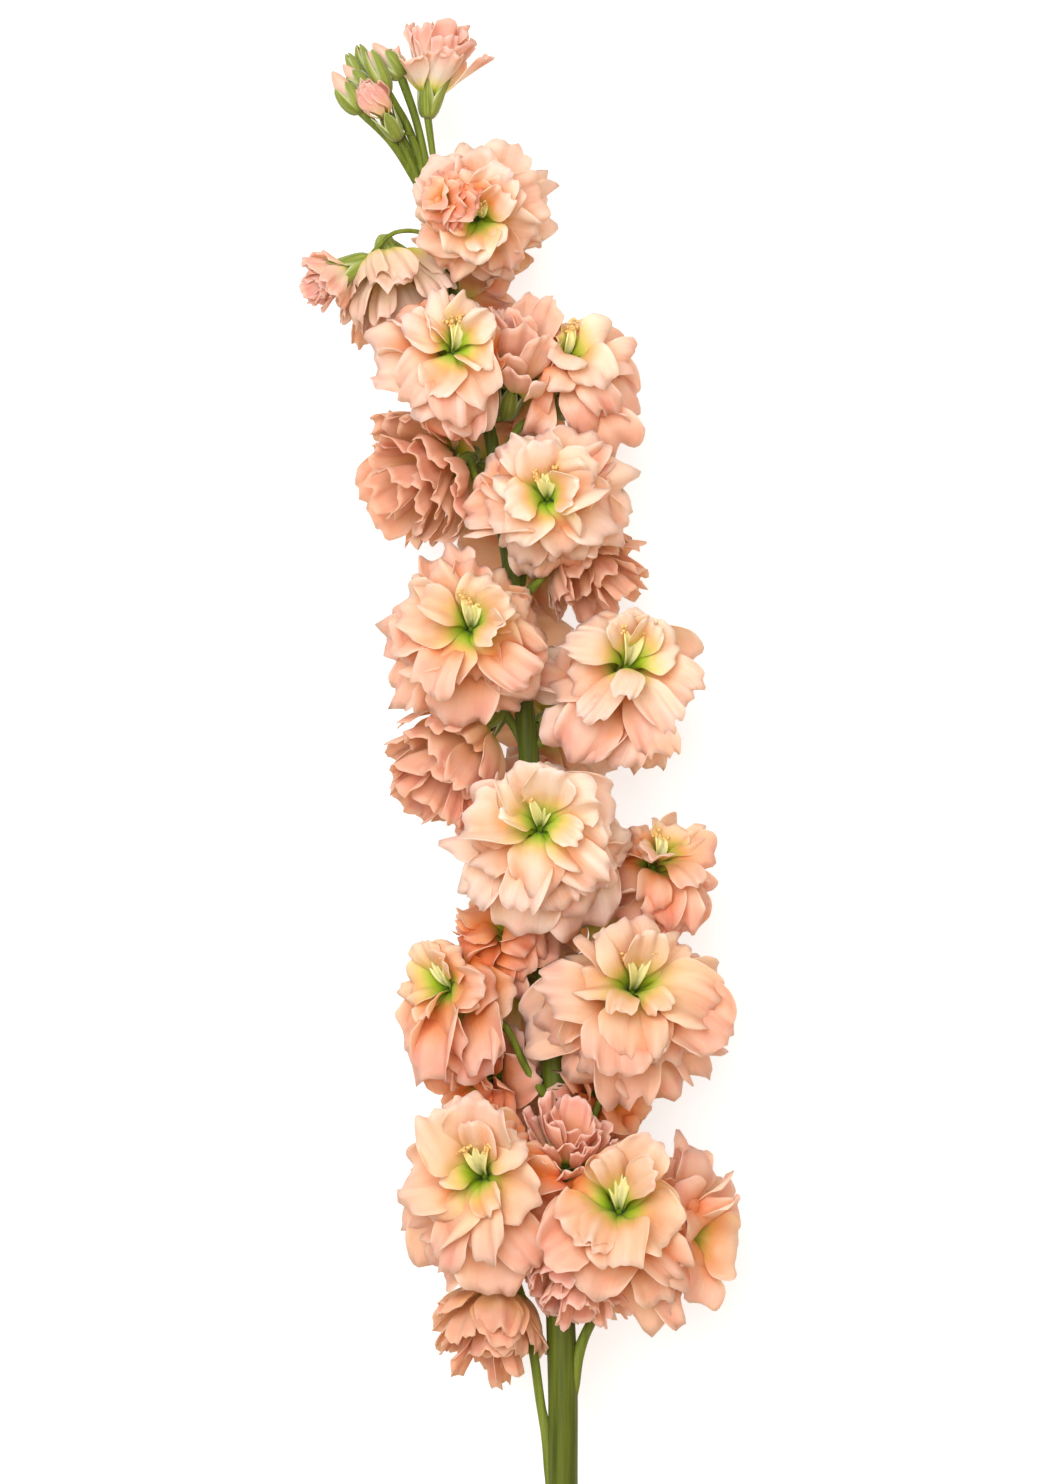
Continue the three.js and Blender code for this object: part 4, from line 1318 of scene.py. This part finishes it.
class GeometryTree(Graph):
    """A geometry node tree with named inputs."""

    KINDS = {float: "NodeSocketFloat", int: "NodeSocketInt"}

    def __init__(self, name: str, sizes: dict[str, float | int]) -> None:
        """Makes the tree.

        Args:
            name: the tree's name.
            sizes: its inputs with their values, beside the geometry and the material.
        """
        super().__init__(bpy.data.node_groups.new(name, "GeometryNodeTree"))
        face = self.tree.interface
        face.new_socket("Geometry", in_out="OUTPUT", socket_type="NodeSocketGeometry")
        kinds = {"Geometry": "NodeSocketGeometry", "Material": "NodeSocketMaterial"}
        kinds |= {key: self.KINDS[type(value)] for key, value in sizes.items()}
        for key, kind in kinds.items():
            face.new_socket(key, in_out="INPUT", socket_type=kind)
        self.sizes = sizes
        self.inputs = self.node("NodeGroupInput").outputs

    def end(self, geometry: Socket) -> None:
        """Ends the tree with real geometry of one material."""
        real = self.out("GeometryNodeRealizeInstances", None, {0: geometry})
        inputs = {"Geometry": real, "Material": self.inputs["Material"]}
        self.node("NodeGroupOutput", None, {0: self.out("GeometryNodeSetMaterial", None, inputs)})

    def smooth(self, geometry: Socket) -> Socket:
        """The geometry with its faces shaded smooth."""
        return self.out("GeometryNodeSetShadeSmooth", None, {"Geometry": geometry})

    def chance(self, low: float, high: float) -> Socket:
        """A vector drawn for every point, each part of it between low and high."""
        inputs = {"Min": (low,) * 3, "Max": (high,) * 3, "Seed": self.inputs["Seed"]}
        return self.out("FunctionNodeRandomValue", {"data_type": "FLOAT_VECTOR"}, inputs)

    def bake(self, host: Object, name: str, material: Material) -> Object:
        """Runs the tree on an object and keeps the result as a plain mesh.

        Args:
            host: the object that the tree works on. It is removed.
            name: the piece's name.
            material: the piece's material.

        Returns:
            The new object.
        """
        modifier = host.modifiers.new(name, "NODES")
        modifier.node_group = self.tree
        values = {"Material": material, **self.sizes}
        for item in self.tree.interface.items_tree:
            if item.item_type == "SOCKET" and item.in_out == "INPUT" and item.name in values:
                modifier[item.identifier] = values[item.name]
        graph = bpy.context.evaluated_depsgraph_get()
        mesh = bpy.data.meshes.new_from_object(host.evaluated_get(graph))
        mesh.name = name
        bpy.data.objects.remove(host)
        return in_scene(name, mesh)


def tube_tree(sides: int, ridge: float) -> GeometryTree:
    """A tree that turns curves into closed ribbed stalks.

    Args:
        sides: how many sides a stalk has.
        ridge: how far its ribs stand out, in metres.

    Returns:
        The tree.
    """
    g = GeometryTree("stalk", {"Sides": sides, "Ridge": ridge})
    circle = g.out(
        "GeometryNodeCurvePrimitiveCircle", None, {"Resolution": g.inputs["Sides"], "Radius": 1.0}
    )
    tube = g.node("GeometryNodeCurveToMesh", None, {
        "Curve": g.inputs["Geometry"], "Profile Curve": circle, "Fill Caps": True,
    })
    if "Scale" in tube.inputs:  # Blender's older node takes the curve's radius by itself
        g.tree.links.new(g.out("GeometryNodeInputRadius"), tube.inputs["Scale"])
    where = g.vector("MULTIPLY", {0: g.out("GeometryNodeInputPosition"), 1: (700.0, 12.0, 700.0)})
    noise = Number(g, g.out("ShaderNodeTexNoise", None, {"Vector": where, "Scale": 1.0}))
    push = (noise - 0.5) * Number(g, g.inputs["Ridge"])
    offset = g.vector("SCALE", {0: g.out("GeometryNodeInputNormal"), "Scale": push})
    inputs = {"Geometry": tube.outputs[0], "Offset": offset}
    g.end(g.smooth(g.out("GeometryNodeSetPosition", None, inputs)))
    return g


def down_tree(density: float, length: float, seed: int) -> GeometryTree:
    """A tree that covers a piece with short leaning hairs.

    Args:
        density: hairs to a square metre.
        length: a hair's length in metres.
        seed: the seed of their places.

    Returns:
        The tree.
    """
    g = GeometryTree("down", {"Density": density, "Length": length, "Seed": seed})
    spread = g.node("GeometryNodeDistributePointsOnFaces", None, {
        "Mesh": g.inputs["Geometry"], "Density": g.inputs["Density"], "Seed": g.inputs["Seed"],
    })
    size = Number(g, g.inputs["Length"])
    sizes = {"Vertices": 3, "Radius Top": 0.0, "Radius Bottom": size * 0.12, "Depth": size}
    cone = g.out("GeometryNodeMeshCone", None, sizes)
    way = g.vector("ADD", {0: spread.outputs["Normal"], 1: g.chance(-0.9, 0.9)})
    turned = g.out("FunctionNodeAlignRotationToVector", {"axis": "Z"}, {"Vector": way})
    g.end(g.out("GeometryNodeInstanceOnPoints", None, {
        "Points": spread.outputs["Points"], "Instance": cone, "Rotation": turned,
    }))
    return g


def crumb_tree(radius: float, seed: int) -> GeometryTree:
    """A tree that sets a small uneven ball on every point.

    Args:
        radius: of the largest ball, in metres.
        seed: the seed of their sizes.

    Returns:
        The tree.
    """
    g = GeometryTree("crumbs", {"Radius": radius, "Seed": seed})
    sizes = {"Radius": g.inputs["Radius"], "Subdivisions": 2}
    ball = g.out("GeometryNodeMeshIcoSphere", None, sizes)
    scale = g.chance(0.4, 1.0)
    points = g.out("GeometryNodeMeshToPoints", None, {"Mesh": g.inputs["Geometry"]})
    g.end(g.smooth(g.out("GeometryNodeInstanceOnPoints", None, {
        "Points": points, "Instance": ball, "Scale": scale,
    })))
    return g


def curve_of(name: str, paths: Iterable[tuple[Array, Array]]) -> Object:
    """A curve object of smooth paths.

    Args:
        name: the object's name.
        paths: each the points in designed millimetres and the radii there.

    Returns:
        The object.
    """
    data = bpy.data.curves.new(name, "CURVE")
    data.dimensions = "3D"
    for points, radii in paths:
        spline = data.splines.new("POLY")
        spline.points.add(len(points) - 1)
        for target, place, radius in zip(spline.points, (points + SHIFT) * MM, radii):
            target.co = (*place, 1.0)
            target.radius = radius * MM
    return in_scene(name, data)


def smooth_path(
    knots: Array, radii: Sequence[float], steps: int
) -> tuple[Array, Array]:
    """A smooth path through knots.

    Args:
        knots: the points that it passes.
        radii: the radius at every knot.
        steps: how many points the path gets.

    Returns:
        The path's points and the radii there.
    """
    spans = np.linalg.norm(np.diff(knots, axis=0), axis=1)
    places = np.concatenate([[0], np.cumsum(spans)])
    slopes = np.gradient(knots, places, axis=0)
    t = np.linspace(0, places[-1], steps)
    k = np.clip(np.searchsorted(places, t, side="right") - 1, 0, len(knots) - 2)
    f = ((t - places[k]) / spans[k])[:, None]
    span = spans[k][:, None]
    points = (
        (2 * f**3 - 3 * f**2 + 1) * knots[k] + (f**3 - 2 * f**2 + f) * span * slopes[k]
        + (3 * f**2 - 2 * f**3) * knots[k + 1] + (f**3 - f**2) * span * slopes[k + 1]
    )
    return points, np.interp(t, places, radii)


@dataclass
class Greenery:
    """The stem, the flower stalks, the calyces and the buds, with their down."""

    blooms: Sequence[Bloom]
    petals: Material
    stem_sides: int = 28
    stem_ridge: float = 0.35
    stalk_sides: int = 12
    stalk_ridge: float = 0.1
    sepal_thick: float = 0.35
    cut_slope: float = 0.4
    cut_margin: float = 1.3  # how far above the stem's lowest place the slanted cut's middle is
    hair_length: float = 0.28
    hair_seed: int = 11
    hair_counts: tuple[float, float, float] = (0.5, 0.5, 2.0)  # to a square millimetre

    def stem(self) -> Object:
        """Makes the main stem with its slanted cut end."""
        knots = np.array([(x, y, STEM_HEIGHT) for x, y, _ in STEM_LINE])
        path = smooth_path(knots, [radius for _, _, radius in STEM_LINE], 90)
        finish = GreenFinish(
            "stem", linear(58, 70, 6), linear(86, 98, 14), linear(124, 136, 46), 0.03
        )
        piece = tube_tree(self.stem_sides, self.stem_ridge * MM).bake(
            curve_of("stem_line", [path]), "main_stem", finish.make()
        )
        cut = (STEM_FOOT_Y + SHIFT[1] + self.cut_margin) * MM
        for corner in piece.data.vertices:
            slope = (corner.co.z - STEM_HEIGHT * MM) * self.cut_slope
            corner.co.y = max(corner.co.y, cut + slope)
        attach(piece, "root")
        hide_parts("stem")
        return piece

    def stalk_path(self, bloom: Bloom) -> tuple[Array, Array]:
        """The path of a bloom's stalk up to its calyx.

        Args:
            bloom: the bloom that it carries.

        Returns:
            The path's points and the radii there.
        """
        start_y = STALK_FROM.get(bloom.number, bloom.centre[1] - STALK_REACH)
        start, _ = stem_at(min(start_y, STEM_LINE[-1][1] - 2))
        bends = [(*above_stem(bend), bend[3]) for bend in STALK_BENDS.get(bloom.number, ())]
        if not bends:
            bend = (start + bloom.calyx_foot) / 2
            bend[1] = start[1] + 0.7 * (bloom.calyx_foot[1] - start[1])
            bends = [(*bend, 1.0)]
        thin = STALK_RADII.get(bloom.number) or min(0.8, 0.12 + 0.048 * bloom.radius)
        end = bloom.calyx_foot + 0.6 * bloom.axis
        knots = np.array([(*start, 1.5), *bends, (*end, 1.3)])
        return smooth_path(knots[:, :3], thin * knots[:, 3], 12 + 10 * len(bends))

    def stalks(self) -> Object:
        """Makes the flower stalks and the stalks of the buds."""
        paths = [self.stalk_path(bloom) for bloom in self.blooms]
        for k, (foot, point, _, knee, _) in enumerate(BUDS):
            low, high = above_stem(foot), above_stem(point)
            start, _ = stem_at(BUDS_FROM)
            start = start + np.array([0.9 - 0.36 * k, 0.0, 0.5 * (-1) ** k])
            knots = np.array([start, above_stem(knee), low + 0.1 * (high - low)])
            paths.append(smooth_path(knots, [0.76, 0.8, 0.92], 16))
        finish = GreenFinish(
            "stalk", linear(84, 98, 16), linear(110, 124, 32), linear(146, 156, 70), 0.05
        )
        piece = tube_tree(self.stalk_sides, self.stalk_ridge * MM).bake(
            curve_of("stalk_lines", paths), "flower_stalks", finish.make()
        )
        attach(piece, "root")
        return piece

    def sepal(
        self, skin: Skin, foot: Array, axis: Array, turn: float,
        outline: Sequence[Sequence[float]], half: float, draw: float,
    ) -> None:
        """Adds one sepal.

        Args:
            skin: what it is added to.
            foot: the middle of the calyx's foot.
            axis: the calyx's axis.
            turn: where the sepal stands round the axis.
            outline: its middle line, [out, up] of a Bezier curve in millimetres.
            half: half of its width.
            draw: its own chance value.
        """
        t = np.linspace(0, 1, 9)[:, None]
        u = np.linspace(-1, 1, 7)[None, :]
        middle, tangent = bezier(outline, t)
        wide = half * (0.6 + 0.4 * np.sin(math.pi * t**0.7)) * (1 - t**3.2) ** 0.7 + 0.08
        angle = turn + u * wide / np.maximum(middle[..., 0], 0.9)
        keel = 0.12 * half * (1 - np.abs(u)) * np.sin(math.pi * t)
        out = middle[..., 0] + keel * tangent[..., 1]
        height = middle[..., 1] - keel * tangent[..., 0]
        points = rounded(foot, axis, out, angle, height)
        thick = self.sepal_thick * (1 - 0.5 * np.abs(u)) * (1 - 0.4 * t)
        points[..., 2] = np.maximum(points[..., 2], thick / 2 + 0.02)
        skin.add_blade(points, thick, along=t, across=u, draw=draw)

    def calyces(self, sepal: Material) -> Object:
        """Makes the four sepals under every bloom.

        Args:
            sepal: their material.

        Returns:
            The piece.
        """
        skin = Skin()
        draw = np.random.default_rng(71)
        for bloom in self.blooms:
            calyx, length = bloom.calyx_radius, bloom.calyx_length
            start = draw.random() * math.pi
            for k in range(4):
                jut = 0.5 * draw.random()
                point = (1.4 + bloom.form.flare) * calyx + jut
                outline = ((0.5 * calyx, 0.0), (1.2 * calyx, 0.2 * length),
                           (1.05 * calyx, 0.9 * length), (point, 1.3 * length))
                turn = start + k * math.pi / 2
                self.sepal(
                    skin, bloom.calyx_foot, bloom.axis, turn, outline, 1.08 * calyx, draw.random()
                )
        piece = skin.make("calyces", sepal)
        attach(piece, "root")
        return piece

    def buds(self, sepal: Material) -> list[Object]:
        """Makes the green of the buds and the petals at their points.

        Args:
            sepal: the material of the green.

        Returns:
            The green and the petals, each a piece.
        """
        green, tips = Skin(), Skin()
        draw = np.random.default_rng(5)
        for foot, point, radius, _, shown in BUDS:
            low, high = above_stem(foot), above_stem(point)
            length = float(np.linalg.norm(high - low))
            axis = (high - low) / length
            reach = length * (1.0 - 0.3 * shown)
            outline = ((0.25 * radius, 0.0), (1.3 * radius, 0.12 * reach),
                       (1.2 * radius, 0.8 * reach), ((0.3 + 0.5 * shown) * radius, reach))
            for k in range(4):
                turn = draw.random() * 0.3 + k * math.pi / 2
                self.sepal(green, low, axis, turn, outline, 0.95 * radius, draw.random())
            self.bud_core(tips, low, axis, length, radius, shown)
        sepals = green.make("bud_sepals", sepal)
        petals = tips.make("bud_petals", self.petals)
        for piece, slot in ((sepals, "green"), (petals, "bud_petals")):
            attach(piece, "root")
        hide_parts("bud_tip_1", "bud_tip_2", "bud_tip_3")
        return [sepals, petals]

    @staticmethod
    def bud_core(
        skin: Skin, low: Array, axis: Array, length: float, radius: float, shown: float
    ) -> None:
        """Adds the furled petals inside a bud.

        Args:
            skin: what they are added to.
            low: the bud's foot.
            axis: the way it points.
            length: its length.
            radius: its radius.
            shown: how far the petals show, from 0 to 1.
        """
        t = np.linspace(0.02, 1, 13)[:, None]
        turn = np.linspace(0, FULL_TURN, 20, endpoint=False)
        body = radius * 0.92 * np.sin(math.pi * t**0.9) ** 0.5 * (1 - 0.25 * t)
        body[-1] = 0.12 * radius
        out = body * (1 + 0.10 * np.sin(2.5 * turn + 3.0 * t))
        rings = rounded(low, axis, out, turn, t * length * (0.86 + 0.14 * shown))
        along, tone = 0.7 + 0.5 * t[:, 0], 0.1 + 0.3 * shown
        skin.add_round(rings, along=along, tone=tone, draw=0.4, light=0.6, **UNMARKED)

    def build(self) -> list[Object]:
        """Makes every green piece and its down.

        Returns:
            The pieces.
        """
        stem, stalks = self.stem(), self.stalks()
        sepal = SepalFinish().make()
        calyces = self.calyces(sepal)
        buds = self.buds(sepal)
        made = [stem, stalks, calyces, *buds]
        down = GrainFinish("down", linear(200, 206, 168), linear(160, 170, 120), 0.6, 900).make()
        for host, count in zip((stalks, calyces, buds[0]), self.hair_counts):
            copy = in_scene(host.name, host.data.copy())
            tree = down_tree(count / MM**2, self.hair_length * MM, self.hair_seed)
            hairs = tree.bake(copy, f"down_{host.name}", down)
            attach(hairs, "root")
            made.append(hairs)
        return made


@dataclass
class Throats:
    """The narrow petals in the throats, with crumbs on their tips."""

    skin: Skin
    crumbs_each: int = 11
    spread: float = 0.5
    crumb_radius: float = 0.52

    def build(self, blooms: Sequence[Bloom]) -> list[Object]:
        """Makes the narrow petals and their crumbs.

        Args:
            blooms: all the blooms.

        Returns:
            The narrow petals and the crumbs, each a piece.
        """
        organs = self.skin.make("throat_petals", OrganFinish().make())
        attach(organs, "root")
        draw = np.random.default_rng(23)
        places = np.concatenate([
            tip + draw.normal(0, self.spread, (self.crumbs_each, 3))
            for bloom in blooms for tip in bloom.organs
        ])
        mesh = bpy.data.meshes.new("crumb_places")
        mesh.from_pydata(((places + SHIFT) * MM).tolist(), [], [])
        gold = GrainFinish("crumb", linear(236, 206, 138), linear(206, 160, 84), 0.5, 1500)
        crumbs = crumb_tree(self.crumb_radius * MM, 3).bake(
            in_scene("crumb_places", mesh), "throat_crumbs", gold.make()
        )
        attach(crumbs, "root")
        return [organs, crumbs]


@dataclass(frozen=True)
class Lamp:
    """One soft square lamp: where it stands and its side in metres, its power and colour."""

    name: str
    place: tuple[float, float, float]
    size: float
    watts: float
    colour: tuple[float, float, float]

    def build(self, aim: Vector) -> None:
        """Adds the lamp, which looks at aim."""
        data = bpy.data.lights.new(self.name, "AREA")
        data.size, data.energy, data.color = self.size, self.watts, self.colour
        lamp = in_scene(self.name, data)
        lamp.location = self.place
        lamp.rotation_euler = (aim - Vector(self.place)).to_track_quat("-Z", "Y").to_euler()


@dataclass
class Studio:
    """The table, the light and the camera. The table's side is in metres."""

    lens: float = 130.0
    sensor: float = 36.0
    aim_z: float = 26.0
    table: float = 6.0
    table_glow: float = 0.68
    sky: float = 0.4
    sky_colour: tuple = (1.0, 0.66, 0.35, 1.0)
    lamps: tuple[Lamp, ...] = (
        Lamp("key", (-0.35, 0.45, 1.4), 1.3, 33.5, (0.88, 0.93, 1.0)),
        Lamp("fill", (0.8, -0.3, 1.2), 1.2, 5.0, (1.0, 0.9, 0.76)),
    )

    def aim(self) -> Vector:
        """The point that the middle of the picture looks at, in metres."""
        x = (PICTURE_WIDE / 2 - PICTURE_AXIS) * PICTURE_SCALE
        y = PICTURE_HIGH / 2 * PICTURE_SCALE
        return Vector((np.array([x, y, self.aim_z]) + SHIFT) * MM)

    def camera(self) -> None:
        """Sets the camera above the stem, looking straight down."""
        data = bpy.data.cameras.new("camera")
        data.lens, data.sensor_width = self.lens, self.sensor
        data.clip_start, data.clip_end = 0.05, 20.0
        camera = in_scene("camera", data)
        distance = PICTURE_HIGH * PICTURE_SCALE * MM * self.lens / self.sensor
        camera.location = self.aim() + Vector((0, 0, distance))
        bpy.context.scene.camera = camera

    def floor(self) -> None:
        """Makes the pale table."""
        half = self.table / 2
        mesh = bpy.data.meshes.new("table")
        corners = [(-half, -half, 0), (half, -half, 0), (half, half, 0), (-half, half, 0)]
        mesh.from_pydata(corners, [], [(0, 1, 2, 3)])
        mesh.materials.append(Shader("table").finish({
            "Base Color": linear(180, 180, 180),
            "Roughness": 0.9,
            "Emission Color": (1.0, 1.0, 1.0, 1.0),
            "Emission Strength": self.table_glow,
        }))
        in_scene("table", mesh)

    def build(self) -> None:
        """Makes the whole stage."""
        self.camera()
        self.floor()
        world = bpy.data.worlds.new("studio")
        world.use_nodes = True
        background = world.node_tree.nodes["Background"]
        background.inputs["Color"].default_value = self.sky_colour
        background.inputs["Strength"].default_value = self.sky
        bpy.context.scene.world = world
        bpy.context.scene.view_settings.view_transform = "Standard"
        for lamp in self.lamps:
            lamp.build(self.aim())


def main() -> None:
    """Builds the stem and its stage, and reports every piece."""
    logging.basicConfig(level=logging.INFO, format="%(message)s")
    Studio().build()
    blooms = [
        Bloom(i + 1, above_stem((x, y, rise)), radius, direction(turn, lift), Habit(habit),
              Tint[tint])
        for i, (x, y, rise, radius, turn, lift, habit, tint) in enumerate(BLOOMS)
    ]
    petals = PetalFinish().make()
    organs = Skin()
    for bloom in blooms:
        bloom.find_walls(blooms)
        bloom.grow(organs)
    depths = Depths([bloom.skin for bloom in blooms])
    pieces = [bloom.build(depths, petals) for bloom in blooms]
    pieces += Throats(organs).build(blooms)
    pieces += Greenery(blooms, petals).build()
    for piece in pieces:
        log.info("%s: %d faces", piece.name, len(piece.data.polygons))


if __name__ == "__main__":
    main()
